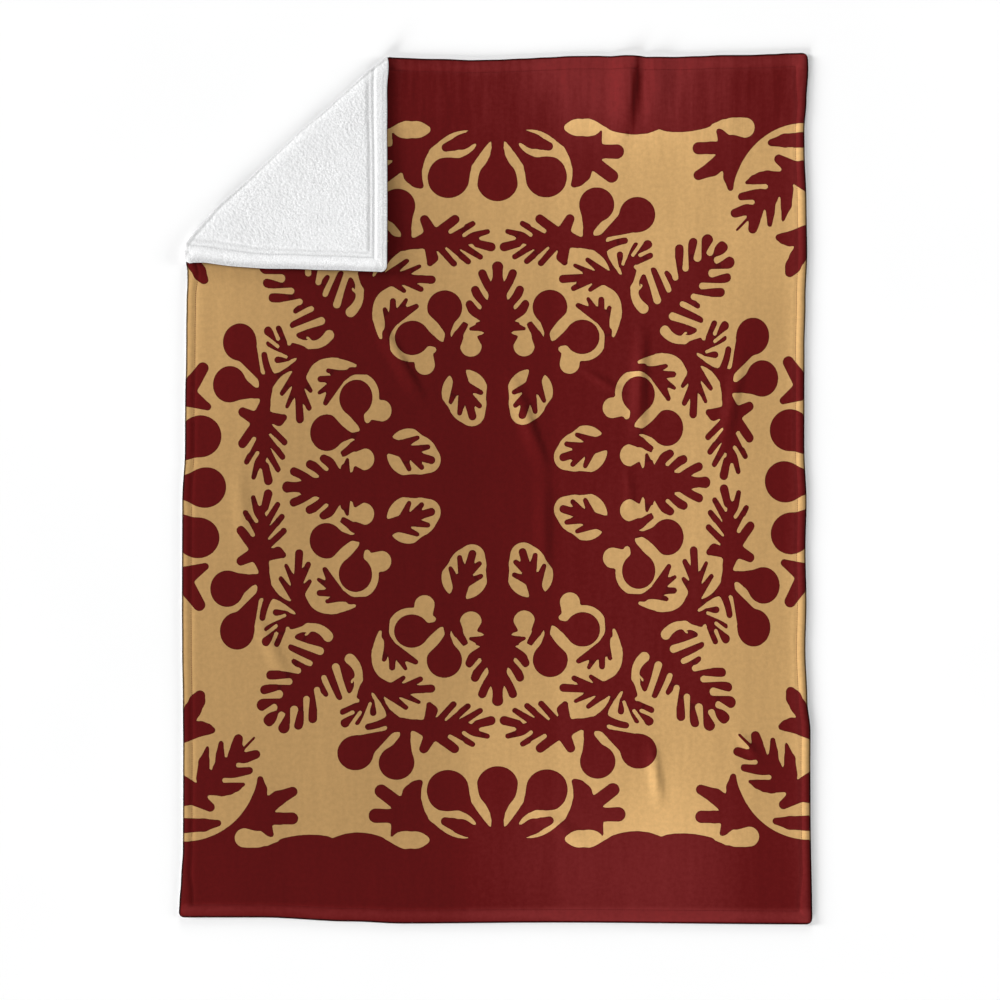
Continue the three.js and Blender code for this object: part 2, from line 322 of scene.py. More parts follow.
MEDALLION_CUTS = {
    "pear": [
        (26.2, 137.4, 10.5, 27, 146.5, 6.4, 0),
        (15.8, 150.2, 1.2, 25, 149.6, 3.4, 0),
    ],
    "gap": [
        (57, 149, 5.2, 70, 166, 3.5, 1),
    ],
    "ring": [
        (85.5, 144, 22, 85.5, 144, 22, 0),
        (73, 131, 9, 71.5, 119, 9.8, 0),
        (73, 133.5, 4.2, 63.5, 134, 3.2, 0),
    ],
    "sprig hollow": [
        (98, 174, 25, 98, 174, 25, 0),
        (118, 170, 5, 114.5, 147, 1.8, 1),
    ],
    "arc": [
        (77.5, 222, 6.6, 85, 226, 7, 0),
        (82, 230, 4.5, 109.5, 211.5, 2.2, 6),
    ],
    "channels": [
        (147, 215, 1.2, 139.5, 205, 1.6, 0),
        (139.5, 205, 1.6, 135.5, 195, 3.3, 0),
        (135.5, 195, 3.3, 144.5, 174, 5.2, -3),
        (149.3, 212, 2.4, 158.4, 182, 3.8, 0),
        (158, 218, 1.6, 170, 192.5, 2.7, 0),
    ],
    "lobe slots": [
        (175.5, 222, 1.2, 176.8, 204.7, 3.0, 0),
        (187.6, 236, 1.8, 187.1, 213.8, 3.2, 0),
        (202, 243, 1.4, 199.2, 224.4, 4.0, 0),
        (216, 238, 1.6, 212, 229.4, 3.2, 0),
    ],
    "leaf slots": [
        (24, 254, 0.9, 33, 248.4, 1.9, 0),
        (50.4, 235.4, 1.0, 41, 226, 1.8, 0),
        (34, 258, 1.0, 46.5, 252, 2.0, 0),
        (24, 184, 1.6, 17.5, 176.5, 1.9, 0),
        (29, 165, 4.6, 17.2, 162, 0.6, 0),
        (120.5, 213, 1.4, 122.6, 206.5, 1.6, 0),
        (139.6, 193.8, 0.9, 142.8, 197.2, 1.0, -0.8),
    ],
    "sprig slots": [
        (134.5, 248, 2.0, 111, 242.4, 3.4, 0),
        (128.5, 234, 1.2, 124.4, 218.5, 1.6, 0),
        (142.5, 240, 1.4, 134.3, 227.5, 1.8, 0),
        (153, 233, 1.3, 141.6, 227.4, 2.0, 0),
        (147, 214.5, 1.2, 137, 215.7, 2.0, 0),
    ],
    "leaf hollow": [
        (32.2, 91.4, 22.6, 29, 80, 18, 0),
        (29, 80, 18, 25, 71, 12.5, 0),
    ],
}
MEDALLION_DETAILS = {
    "pear finger": [
        (10, 158, 6.5, 26.2, 154.6, 1.8, 0),
    ],
    "second fruit": [
        (84, 146, 17.2, 84, 146, 17.2, 0),
        (71, 145.5, 8, 57.5, 139.6, 2.8, 0),
        (57.5, 139.6, 2.8, 46, 133, 6, 0),
    ],
    "hand": [
        (109.8, 138, 4, 109.4, 150, 3, 0),
        (109.4, 150, 3, 104, 163, 6, 0),
        (100, 166, 6, 80, 177.5, 2.6, 0),
        (98, 170, 4, 90, 184, 1.9, 0),
        (103, 168, 3.5, 103, 183, 3.0, 0),
        (107, 160, 3.5, 111, 175, 2.2, 0),
    ],
    "short lobe": [
        (106, 235, 4, 126.4, 242, 3.2, 1),
    ],
    "second hand": [
        (120, 200, 8, 104, 206, 7, 0),
        (106, 210, 4, 89.5, 223, 2.4, 0),
        (100, 206, 4, 77, 217.5, 2.0, 0),
        (96, 206, 3.5, 65, 204, 4.2, 0),
        (98, 206, 4, 75.5, 194.5, 2.8, 0),
        (103, 202, 4, 92, 193, 2.2, 0),
    ],
    "hollow leaf": [
        (41, 118, 8.5, 36, 102, 7, 0),
        (36, 102, 7, 31, 84, 3.4, 0),
        (31, 98, 4.2, 16.4, 91, 2.5, 0),
        (29, 89, 3.8, 17.8, 78, 2.6, 0),
        (29, 84, 4, 24.6, 68, 3.9, 0),
        (34, 90, 4.4, 37.2, 71.6, 2.5, 0),
        (40, 98, 4.4, 46, 82.4, 2.2, 0),
    ],
}

# Border of the print, drawn in one quarter. The band's lower edge goes from the middle to the corner.
BAND_EDGE = [
    (0, 345), (50, 348), (58, 341), (66, 334), (80, 334), (88, 349), (92, 356), (96, 360.4), (100, 359.6),
    (104.7, 357), (109, 354.6), (113, 352.6), (118, 350.9), (123, 349.7), (130, 348.6), (138, 348.2),
    (149, 349.6), (156, 352), (161, 354), (166, 352), (174, 350.9), (184, 350.7), (194, 351.4),
    (203, 353), (209, 354.4), (215, 356.4), (220, 359), (225, 361.3), (233, 363.5), (243, 364),
    (250, 363.8), (258, 361), (260, 330), (320, 330),
]
BORDER = {
    "middle fruit": [
        (0, 303, 20.4, 0, 303, 20.4, 0),
        (0, 309, 17.6, 0, 331, 6.6, 0),
        (0, 331, 6.6, 0, 346, 6, 0),
    ],
    "side fruit": [
        (48.5, 307, 20.4, 48.5, 307, 20.4, 0),
        (44, 314, 18, 12, 350, 8, -3),
    ],
    "branch hand": [
        (85, 332, 19, 86, 350, 16, 0),
        (92, 332, 7, 104, 331.8, 6.6, 0),
        (104, 331.8, 6.6, 118.5, 331.5, 7.3, 0),
        (90, 325, 7, 113.4, 307, 6.6, 0),
        (84, 322, 14, 82.6, 310, 10, 0),
        (82.6, 310, 10, 79.4, 303.4, 6.8, 0),
        (79.4, 303.4, 6.8, 76, 299.4, 3.6, 0),
    ],
    "corner hand": [
        (233, 326, 13, 267, 361, 18, 0),
        (230, 338, 9, 223, 350.6, 3.9, 0),
        (226, 335, 6, 214, 334.6, 6, 0),
        (214, 334.6, 6, 201, 334.4, 6.2, 0),
        (228, 324, 9, 215, 314, 7.4, 0),
        (215, 314, 7.4, 200.6, 307.4, 5, 0),
        (235, 320, 10.5, 232, 305, 5.8, 0),
        (232, 305, 5.8, 233, 294.6, 3.2, 0),
    ],
}
BORDER_CUTS = {
    "oval": [
        (70.2, 355.8, 3.9, 75.6, 355.8, 7, 0),
        (75.6, 355.8, 7, 80, 355.8, 8.1, 0),
        (80, 355.8, 8.1, 90, 355.6, 8.4, 0),
        (90, 355.6, 8.4, 95, 355, 7, 0),
        (95, 355, 7, 99.6, 354.4, 4.4, 0),
        (99.6, 354.8, 4.4, 108, 354, 1.2, 0),
    ],
    "corner oval": [
        (216, 356.6, 1.8, 226.5, 357.6, 4.4, 0),
        (226.5, 357.4, 4.4, 235, 355.8, 7.7, 0),
        (235, 355.8, 7.7, 248.5, 354.2, 9.8, 0),
    ],
    "fruit gap": [
        (7.4, 337.4, 0.9, 13.8, 328.4, 3, 0),
        (13.8, 328.4, 3, 21.4, 317, 3.8, 0.6),
        (21.4, 317, 3.8, 24.4, 303, 4.4, 0),
    ],
    "upper crescent": [
        (29, 353.8, 1.0, 54, 341.5, 3.4, 3),
        (54, 341.5, 3.4, 70.5, 314, 3.6, 4),
        (70.5, 314, 3.6, 70, 300, 2.6, 1),
    ],
    "lower crescent": [
        (22.5, 340.5, 1.8, 38, 331, 3.6, -2),
        (38, 331, 3.6, 62, 333, 5, -2),
    ],
    "corner arc": [
        (309, 285, 72.6, 334, 285, 72.6, 0),
    ],
}
BORDER_DETAILS = {
    "side fruit again": [
        (48.5, 307, 20.4, 48.5, 307, 20.4, 0),
    ],
    "crescent lobe": [
        (20, 349, 7, 51, 337.5, 4.3, 1),
    ],
    "spur": [
        (99, 341, 5, 103.4, 352.2, 0.9, 0),
    ],
    "edge lobe": [
        (275.2, 339, 3.5, 289, 340.8, 6.5, 0),
        (289, 340.8, 6.5, 314, 341.4, 8.2, 0),
    ],
    "curved leaf": [
        (314.5, 306, 18, 294.5, 310, 9, 0),
        (296, 314, 8, 283, 322.5, 4.8, 0),
        (291, 304, 7.4, 274.5, 290, 11, 0),
        (274.5, 290, 11, 254.5, 266, 5, 0),
        (283, 300.6, 10, 271, 303.8, 7.5, 0),
        (271, 303.8, 7.5, 264, 303.4, 6.5, 0),
        (264, 303.4, 6.5, 257, 302, 4.7, 0),
        (257, 302, 4.7, 249.8, 299.6, 2, 0),
        (274.5, 290, 7, 244.5, 285.5, 4.2, 0),
        (264.5, 278, 7, 237.5, 269, 4.6, 0),
        (252.5, 266, 1.5, 239, 252, 1.2, 0),
        (260.5, 274, 8, 255, 253, 4.6, 0),
        (272, 284, 7, 273, 270, 4.7, 0),
        (273, 270, 4.7, 272.2, 257.8, 2.8, 0),
        (289, 293, 8, 288.6, 277, 6, 0),
        (288.6, 277, 6, 285.2, 262.4, 2.3, 0),
    ],
    "edge leaf": [
        (281, 244.4, 3.2, 285.6, 243.4, 5.4, 0),
        (285.6, 243.4, 5.4, 292, 242.8, 7.2, 0),
        (292, 242.8, 7.2, 311, 246.4, 11, 0),
        (309, 238, 9, 300, 224, 8, 0),
        (300, 224, 8, 295.6, 215, 7.8, 0),
        (295.6, 215, 7.8, 293, 209.6, 5.2, 0),
    ],
    "edge hand": [
        (293, 119.5, 6, 309, 95, 9, 0),
        (309, 92, 11, 287.5, 81, 3.8, 0),
    ],
    "edge fruits": [
        (294.5, 51.5, 21, 294.5, 51.5, 21, 0),
        (299, 48, 17, 320, 36, 12, 0),
        (288, 0, 20.6, 288, 0, 20.6, 0),
        (296, 0, 18, 320, 0, 8, 0),
    ],
}
BORDER_SLOTS = {
    "curved leaf slots": [
        (249, 295.8, 1.2, 268.5, 295.5, 2.5, 0),
        (243, 280.4, 1.0, 255, 279.8, 2.3, 0),
        (267.2, 271.4, 1.1, 266.2, 262, 2.3, 0),
        (266.2, 262, 2.3, 265.8, 252, 4, 0),
        (282.2, 284, 1.2, 281, 270, 2.5, 0),
        (281, 270, 2.5, 280, 256, 4.6, 0),
    ],
}

# Rows of the mesh along the hem, measured in from the edge
HEM_LINES = [2, 5, 8, 11, 13.5, 15.5, 17.5, 20, 22, 24, 26.5]

# The least distances of mesh points from the rim, and how far the rows along the roll run past its ends
POINT_CLEARANCE = 1
OUTLINE_CLEARANCE = 0.7
OUTLINE_TOLERANCE = 1e-5
ROLL_OVERRUN = 0.05

# The hem's stitches, and the steps round the rim
THREAD_SEGMENTS = 6
THREAD_RINGS = 4
THREAD_HALF_SHARE = 0.42
THREAD_LIFT = 0.1
RIM_TURNS = 4

# The back's pile: its lumps, where it starts at the fold, and the two lines that are drawn in along its hem
LUMP_MARGIN = 2
LUMP_JITTER = (0.12, 0.88)
LUMP_SIZES = (0.55, 1)
LUMP_REACH = 0.95
PILE_START = 2
FIRST_GROOVE_SHARE = 1.4
SECOND_GROOVE_SHARE = 0.9
LUMP_SEED = 11
PILE_FADE = 5
SECOND_GROOVE = 8
PUCKER_LENGTH = 13
PUCKER_HEIGHT = 0.1

# Shade and light on the back: over the fold, along the flap's two edges and along its seams
FOLD_SHADE = 0.36
FOLD_SHADE_PLACE = -4
FOLD_SHADE_FLAT = 6.6
FOLD_SHADE_REACH = 2.4
FLAP_HEM_LIGHT = 0.09
FLAP_HEM_WIDTH = 26
FAR_RIDGE_SHADE = 0.13
FAR_RIDGE_PLACE = 16
FAR_RIDGE_WIDTH = 4.5
FAR_RIM_LIGHT = 0.07
FAR_RIM_PLACE = 6
FAR_RIM_WIDTH = 4
HEM_SHADE_REACH = 14
LOW_HEM_SHADE = 0.26
FAR_HEM_SHADE = 0.05
SEAM_SHADE = 0.09
SEAM_SHADE_PLACE = 22
SEAM_SHADE_WIDTH = 2

# The picture's frame and the camera
PICTURE_PIXELS = 1000
PICTURE_SCALE = 1.758
SENSOR = 36
CAMERA_DISTANCE = 5.0
CAMERA_ELEVATION = 87.0
CAMERA_TARGET = (0.0064, -0.0254, 0.0)
VIEW_REACH = 100
FLOOR_SIZE = 14

# Side lights: name, direction they come from, height in degrees, share of the floor's light
SIDE_LIGHTS = [
    ("left_light", 170, 15, 0.295),
    ("near_light", 240, 15, 0.235),
    ("far_light", 90, 15, 0.12),
    ("right_light", 0, 15, 0.1),
]
SIDE_LIGHT_SPREAD = 18
ROOM_LIGHT = 0.295
SUN_DISTANCE = 3

# Sheen of the cloth's shaders
SHEEN_ROUGHNESS = 0.5


class QuiltSizes(bpy.types.PropertyGroup):
    """Sizes of the sewing and of the pile"""
    hem_width: FloatProperty(
        name="Hem width", description="From the edge to the line of stitches",
        default=0.022, min=0.01, max=0.06, subtype="DISTANCE", unit="LENGTH")
    hem_puff: FloatProperty(
        name="Hem puff", description="How far the hem stands up between the edge and its stitches",
        default=0.0011, min=0, max=0.004, subtype="DISTANCE", unit="LENGTH")
    groove_depth: FloatProperty(
        name="Groove depth", description="How deep the stitches draw the cloth in",
        default=0.0011, min=0, max=0.003, subtype="DISTANCE", unit="LENGTH")
    groove_width: FloatProperty(
        name="Groove half width", description="Half the width of the drawn-in line along the stitches",
        default=0.0034, min=0.001, max=0.01, subtype="DISTANCE", unit="LENGTH")
    stitch_pitch: FloatProperty(
        name="Stitch pitch", description="From one stitch to the next",
        default=0.004, min=0.002, max=0.01, subtype="DISTANCE", unit="LENGTH")
    thread_width: FloatProperty(
        name="Thread width", description="Width of the sewing thread",
        default=0.0007, min=0.0003, max=0.002, subtype="DISTANCE", unit="LENGTH")
    lump_size: FloatProperty(
        name="Pile lump size", description="Size of the curled lumps of the back's pile",
        default=0.004, min=0.002, max=0.02, subtype="DISTANCE", unit="LENGTH")
    lump_height: FloatProperty(
        name="Pile lump height", description="Height of the curled lumps of the back's pile",
        default=0.0009, min=0, max=0.003, subtype="DISTANCE", unit="LENGTH")


class QuiltColours(bpy.types.PropertyGroup):
    """Colours of the cloth and the floor"""
    crimson: FloatVectorProperty(
        name="Crimson", description="Main colour of the print",
        default=(0.111, 0.005, 0.0054), size=3, min=0, max=1, subtype="COLOR")
    rim_crimson: FloatVectorProperty(
        name="Dark crimson", description="The print's darker rim along its edges",
        default=(0.062, 0.0028, 0.0031), size=3, min=0, max=1, subtype="COLOR")
    gold: FloatVectorProperty(
        name="Gold", description="Ground colour of the print",
        default=(0.528, 0.316, 0.125), size=3, min=0, max=1, subtype="COLOR")
    fleece: FloatVectorProperty(
        name="Fleece", description="Colour of the back",
        default=(0.87, 0.872, 0.876), size=3, min=0, max=1, subtype="COLOR")
    thread: FloatVectorProperty(
        name="Thread", description="Colour of the sewing thread on the back",
        default=(0.6, 0.61, 0.62), size=3, min=0, max=1, subtype="COLOR")
    floor: FloatVectorProperty(
        name="Floor", description="Colour of the floor",
        default=(0.96, 0.96, 0.96), size=3, min=0, max=1, subtype="COLOR")


def ease(value):
    x = np.clip(value, 0, 1)
    return x * x * (3 - 2 * x)


def mix(low, high, share):
    return low + (high - low) * share


# Reads a column of a table at each place, easing from row to row
def read_table(rows, place, column=1):
    places = np.array([row[0] for row in rows], float)
    values = np.array([row[column] for row in rows], float)
    row = np.clip(np.searchsorted(places, place) - 1, 0, len(rows) - 2)
    share = (place - places[row]) / (places[row + 1] - places[row])
    return mix(values[row], values[row + 1], ease(share))


# Distance in from the nearest edge of the flat cloth
def from_rim(flat):
    across, down = flat[:, 0], flat[:, 1]
    sides = np.minimum(across, WIDTH - across)
    ends = np.minimum(down, LENGTH - down)
    return np.minimum(sides, ends)


# Place in the hem, 0 at the edge: the hem is narrower along the lying left and right edges
def hem_place(flat):
    rim = from_rim(flat)
    return rim + side_hem_shift(flat) * ease(rim / RIM_WIDTH)


def side_hem_shift(flat):
    near_left = 1 - ease((flat[:, 0] - HEM_BAND) / HEM_BAND)
    near_right = 1 - ease((WIDTH - flat[:, 0] - HEM_BAND) / HEM_BAND)
    after_fold = ease((flat[:, 1] - FOLD_DOWN) / HEM_CHANGE)
    after_corner = ease((flat[:, 1] - HEM_BAND) / HEM_CHANGE)
    before_corner = ease((LENGTH - HEM_BAND - flat[:, 1]) / HEM_CHANGE)
    left = LEFT_HEM_SHIFT * near_left * after_fold
    right = RIGHT_HEM_SHIFT * near_right * after_corner
    return (left + right) * before_corner


# Pulls the flat cloth to its uneven outline
def draw_edges(flat):
    across, down = flat[:, 0], flat[:, 1]

    def pull(distance):
        return np.clip(1 - distance / EDGE_REACH, 0, 1) ** 2

    from_left = read_table(LEFT_EDGE, down) * pull(across)
    from_right = read_table(RIGHT_EDGE, down) * pull(WIDTH - across)
    from_far = read_table(FAR_EDGE, across) * pull(down)
    from_near = read_table(NEAR_EDGE, across) * pull(LENGTH - down)
    return np.stack([across + from_left - from_right, down + from_far - from_near], axis=1)


# Signed length from the fold, positive in the flap, and share of the way along it
def fold_place(flat):
    along_x, along_y = FOLD_ACROSS / FOLD_LENGTH, -FOLD_DOWN / FOLD_LENGTH
    from_start_x, from_start_y = flat[:, 0], flat[:, 1] - FOLD_DOWN
    along = (from_start_x * along_x + from_start_y * along_y) / FOLD_LENGTH
    length = from_start_x * along_y - from_start_y * along_x
    return length, along


def distance_from_fold(length):
    beyond = np.abs(length) - ROLL_CLOTH
    turn = np.clip(length / ROLL_CLOTH, -1, 1) * math.pi / 2
    rolled = ROLL_DEPTH * (1 - np.cos(turn))
    slack = (ROLL_CLOTH - ROLL_DEPTH) * ease(beyond / ROLL_SLACK_REACH)
    return np.where(beyond <= 0, rolled, ROLL_DEPTH + beyond + slack)


def ply_height(length):
    turn = np.clip(length / ROLL_CLOTH, -1, 1) * math.pi / 2
    rolled = ROLL_HALF_HEIGHT * (1 + np.sin(turn))
    share = (length - ROLL_CLOTH) / (CORNER_DISTANCE - ROLL_CLOTH)
    flap = FLAP_RISE + TIP_LIFT * share * share
    settled = ease((length - ROLL_CLOTH) / SETTLE_LENGTH)
    flap_height = mix(2 * ROLL_HALF_HEIGHT, flap, settled)
    return PLY_LINE + np.where(length < ROLL_CLOTH, rolled, flap_height)


def bow_share(length, along):
    lying = 1 - ease(-length / BOW_REACH_LYING)
    reach = mix(BOW_REACH_FLAP_END, BOW_REACH_FLAP, ease(along / BOW_END_SPAN))
    return np.where(length < 0, lying, 1 - ease(length / reach))


def crease_height(x, y):
    height = np.zeros(len(x))
    for x1, y1, x2, y2, left, right, crease in CREASES:
        run_x, run_y = x2 - x1, y2 - y1
        length = math.hypot(run_x, run_y)
        share = ((x - x1) * run_x + (y - y1) * run_y) / length ** 2
        to_right = (run_x * (y - y1) - run_y * (x - x1)) / length
        beyond = np.abs(share - np.clip(share, 0, 1)) * length
        aside = np.hypot(to_right, beyond) / np.where(to_right > 0, right, left)
        end_fade = np.sin(math.pi * mix(CREASE_END, 1 - CREASE_END, np.clip(share, 0, 1)))
        height = height + crease * (1 - ease(aside)) * end_fade
    return height


# Painted light and shade on the printed pile, with the way its nap lies, as a share of the print's own
# colour
def nap_and_painted_light(flat):
    x, y = flat[:, 0] - WIDTH / 2, LENGTH / 2 - flat[:, 1]
    tone = read_table(NAP_AND_PAINTED_LIGHT_STRIPES, flat[:, 0])
    for centre_x, centre_y, half_width, half_height, change in NAP_AND_PAINTED_LIGHT_PATCHES:
        aside = np.hypot((x - centre_x) / half_width, (y - centre_y) / half_height)
        tone = tone * (1 + change * (1 - ease(aside)))
    # Painted light on crease flanks that face left, painted shade on those that face right
    rise = crease_height(x + SLOPE_STEP, y) - crease_height(x - SLOPE_STEP, y)
    slope = rise / (2 * SLOPE_STEP)
    tone = tone * np.clip(1 + CREASE_PAINTED_LIGHT * slope, LEAST_CREASE_PAINTED_LIGHT, MOST_CREASE_PAINTED_LIGHT)
    # Painted light on the raised hem band, and painted shade where the left and right edges roll down
    distances = (flat[:, 0], WIDTH - flat[:, 0], flat[:, 1], LENGTH - flat[:, 1])
    for distance, change in zip(distances, HEM_PAINTED_LIGHT):
        tone = tone * (1 + change * np.sin(math.pi * np.clip(distance / HEM_PAINTED_LIGHT_REACH, 0, 1)))
    left_rim_shade = LEFT_RIM_PAINTED_SHADE * (1 - ease(flat[:, 0] / LEFT_RIM_REACH))
    right_rim_shade = RIGHT_RIM_PAINTED_SHADE * (1 - ease((WIDTH - flat[:, 0]) / RIGHT_RIM_REACH))
    return np.minimum(tone, MOST_TONE) * (1 - left_rim_shade) * (1 - right_rim_shade)


# Where points of the flat cloth lie, on the line between the two plies
def place_cloth(flat):
    drawn = draw_edges(flat)
    length, along = fold_place(drawn)
    along_fold = np.array([FOLD_ACROSS, -FOLD_DOWN]) / FOLD_LENGTH
    into_cloth = np.array([FOLD_DOWN, FOLD_ACROSS]) / FOLD_LENGTH
    plan = np.array([0, FOLD_DOWN]) + along[:, None] * FOLD_LENGTH * along_fold
    plan = plan + distance_from_fold(length)[:, None] * into_cloth
    mirrored_tip = 2 * CORNER_DISTANCE * into_cloth
    stretch = np.array([TIP_ACROSS, TIP_DOWN]) - mirrored_tip
    plan = plan + (np.maximum(length, 0) / CORNER_DISTANCE)[:, None] * stretch
    bow = bow_share(length, along)
    x = plan[:, 0] - read_table(FOLD_BOW, along, 1) * bow - WIDTH / 2
    y = LENGTH / 2 - plan[:, 1] + read_table(FOLD_BOW, along, 2) * bow
    drop = RIM_DROP * (1 - ease(from_rim(flat) / RIM_WIDTH))
    lying = np.where(length > 0, -1, 1)
    z = ply_height(length) + crease_height(x, y) - drop * lying
    return np.stack([x + CENTRE_RIGHT, y + CENTRE_UP, z], axis=1)


# Outward directions of the line between the plies: the printed face's side
def cloth_normals(flat, step=0.5):
    ahead_x = place_cloth(flat + [step, 0]) - place_cloth(flat - [step, 0])
    ahead_y = place_cloth(flat - [0, step]) - place_cloth(flat + [0, step])
    normals = np.cross(ahead_x, ahead_y)
    return normals / np.linalg.norm(normals, axis=1)[:, None]


# Distance to one stroke of the print
def stroke_distance(x, y, row):
    x1, y1, radius1, x2, y2, radius2, bend = row
    run = math.hypot(x2 - x1, y2 - y1)
    if run == 0:
        return np.hypot(x - x1, y - y1) - radius1
    turn_x = (x1 + x2) / 2 - 2 * bend * (y2 - y1) / run
    turn_y = (y1 + y2) / 2 + 2 * bend * (x2 - x1) / run
    pieces = STROKE_PIECES if bend else 1
    shares = np.linspace(0, 1, pieces + 1)
    path_x = (1 - shares) ** 2 * x1 + 2 * shares * (1 - shares) * turn_x + shares ** 2 * x2
    path_y = (1 - shares) ** 2 * y1 + 2 * shares * (1 - shares) * turn_y + shares ** 2 * y2
    radii = mix(radius1, radius2, shares)
    nearest = np.full(x.shape, np.inf)
    for i in range(pieces):
        run_x, run_y = path_x[i + 1] - path_x[i], path_y[i + 1] - path_y[i]
        share = ((x - path_x[i]) * run_x + (y - path_y[i]) * run_y) / (run_x ** 2 + run_y ** 2)
        share = np.clip(share, 0, 1)
        aside = np.hypot(x - path_x[i] - share * run_x, y - path_y[i] - share * run_y)
        nearest = np.minimum(nearest, aside - mix(radii[i], radii[i + 1], share))
    return nearest


def rounded_union(a, b):
    close = np.maximum(PRINT_ROUNDING - np.abs(a - b), 0) / PRINT_ROUNDING
    return np.minimum(a, b) - close * close * PRINT_ROUNDING / 4


# Adds a table's strokes to the print, or cuts them out of it where sign is -1
def draw_strokes(field, x, y, table, sign=1):
    for row in [row for rows in table.values() for row in rows]:
        reach = max(row[2], row[5]) + abs(row[6]) + STROKE_REACH
        near = (x > min(row[0], row[3]) - reach) & (x < max(row[0], row[3]) + reach)
        near &= (y > min(row[1], row[4]) - reach) & (y < max(row[1], row[4]) + reach)
        distance = stroke_distance(x[near], y[near], row)
        field[near] = sign * rounded_union(sign * field[near], distance)


# Signed distance to the print's edge in millimetres: positive in the crimson, negative in the gold
def print_depth(flat):
    pulled_down = read_table(PULL_DOWN, flat[:, 1])
    for centre_x, centre_y, half_width, half_height, pull in PULL_PATCHES:
        aside = np.hypot((flat[:, 0] - centre_x) / half_width, (flat[:, 1] - centre_y) / half_height)
        pulled_down = pulled_down + pull * (1 - ease(2 * aside - 1))
    across = flat[:, 0] - WIDTH / 2 - read_table(PULL_RIGHT, flat[:, 0])
    x = np.abs(across - PRINT_ACROSS) / (PRINT_SQUARE * PRINT_STRETCH)
    y = np.abs(LENGTH / 2 - flat[:, 1] + pulled_down - PRINT_UP - PRINT_SLANT * across) / PRINT_SQUARE
    side = x / PRINT_SQUEEZE > y
    folded_x = np.where(side, y * PRINT_SQUEEZE, x)
    folded_y = np.where(side, x / PRINT_SQUEEZE, y)
    medallion = np.full(len(x), float(PRINT_OUTSIDE))
    draw_strokes(medallion, folded_x, folded_y, MEDALLION)
    draw_strokes(medallion, folded_x, folded_y, MEDALLION_CUTS, -1)
    draw_strokes(medallion, folded_x, folded_y, MEDALLION_DETAILS)
    band = np.interp(x, [row[0] for row in BAND_EDGE], [row[1] for row in BAND_EDGE])
    border = np.minimum(PRINT_OUTSIDE, band - y)
    draw_strokes(border, x, y, BORDER)
    draw_strokes(border, x, y, BORDER_CUTS, -1)
    draw_strokes(border, x, y, BORDER_DETAILS)
    draw_strokes(border, x, y, BORDER_SLOTS, -1)
    return -PRINT_SQUARE * np.minimum(medallion, border)


# The print's outlines over the flat cloth: points, the pairs of points that are joined,
# and points along the middle of its narrow parts
def print_outlines():
    columns = np.arange(PRINT_CELL / 2, WIDTH, PRINT_CELL)
    rows = np.arange(PRINT_CELL / 2, LENGTH, PRINT_CELL)
    grid_x, grid_y = np.meshgrid(columns, rows)
    depth = print_depth(np.stack([grid_x.ravel(), grid_y.ravel()], axis=1)).reshape(grid_x.shape)
    inside = depth > 0
    points = []
    crossing = {}
    for name, ahead in (("across", (0, 1)), ("down", (1, 0))):
        near = (slice(0, inside.shape[0] - ahead[0]), slice(0, inside.shape[1] - ahead[1]))
        far = (slice(ahead[0], None), slice(ahead[1], None))
        crosses = inside[near] != inside[far]
        share = depth[near] / np.where(crosses, depth[near] - depth[far], 1)
        share = np.clip(share, OUTLINE_CLAMP, 1 - OUTLINE_CLAMP)[crosses] * PRINT_CELL
        index = np.full(crosses.shape, -1)
        index[crosses] = np.arange(crosses.sum()) + sum(len(made) for made in points)
        step = np.stack([share * ahead[1], share * ahead[0]], axis=1)
        points.append(np.stack([grid_x[near][crosses], grid_y[near][crosses]], axis=1) + step)
        crossing[name] = index
    top, bottom = crossing["across"][:-1], crossing["across"][1:]
    left, right = crossing["down"][:, :-1], crossing["down"][:, 1:]
    around = np.stack([top.ravel(), left.ravel(), bottom.ravel(), right.ravel()], axis=1)
    count = (around >= 0).sum(axis=1)
    pairs = [np.sort(around[count == 2], axis=1)[:, 2:]]
    middle = (depth[:-1, :-1] + depth[1:, :-1] + depth[:-1, 1:] + depth[1:, 1:]).ravel() > 0
    alike = middle == inside[:-1, :-1].ravel()
    for chosen, order in ((count == 4) & ~alike, (0, 1, 2, 3)), ((count == 4) & alike, (0, 3, 1, 2)):
        pairs.append(around[chosen][:, order[:2]])
        pairs.append(around[chosen][:, order[2:]])
    size = np.abs(depth)
    widest = np.zeros(depth.shape, bool)
    widest[1:-1] = (size[1:-1] >= size[:-2]) & (size[1:-1] >= size[2:])
    widest[:, 1:-1] |= (size[:, 1:-1] >= size[:, :-2]) & (size[:, 1:-1] >= size[:, 2:])
    widest &= (size > LEAST_SPINE) & (size < PRINT_CELL)
    spines = np.stack([grid_x[widest], grid_y[widest]], axis=1)
    return np.concatenate(points), np.concatenate(pairs), spines


# Points round the edge of the flat cloth, anticlockwise seen from the face's side
def rim_points():
    points = []
    left, right = CORNER_RADIUS, WIDTH - CORNER_RADIUS
    far, near = CORNER_RADIUS, LENGTH - CORNER_RADIUS
    centres = [(left, near), (right, near), (right, far), (left, far)]
    angles = [(180, 270), (270, 360), (0, 90), (90, 180)]
    for corner, (start, end) in enumerate(angles):
        for step in range(CORNER_STEPS + 1):
            angle = math.radians(mix(start, end, step / CORNER_STEPS))
            x = centres[corner][0] + CORNER_RADIUS * math.cos(angle)
            y = centres[corner][1] - CORNER_RADIUS * math.sin(angle)
            points.append((x, y))
        following = centres[(corner + 1) % len(centres)]
        angle = math.radians(end)
        last = np.array(points[-1])
        first = np.array(following) + CORNER_RADIUS * np.array([math.cos(angle), -math.sin(angle)])
        steps = round(np.linalg.norm(first - last) / RIM_STEP)
        points.extend(mix(last, first, i / steps) for i in range(1, steps))
    return np.array(points)


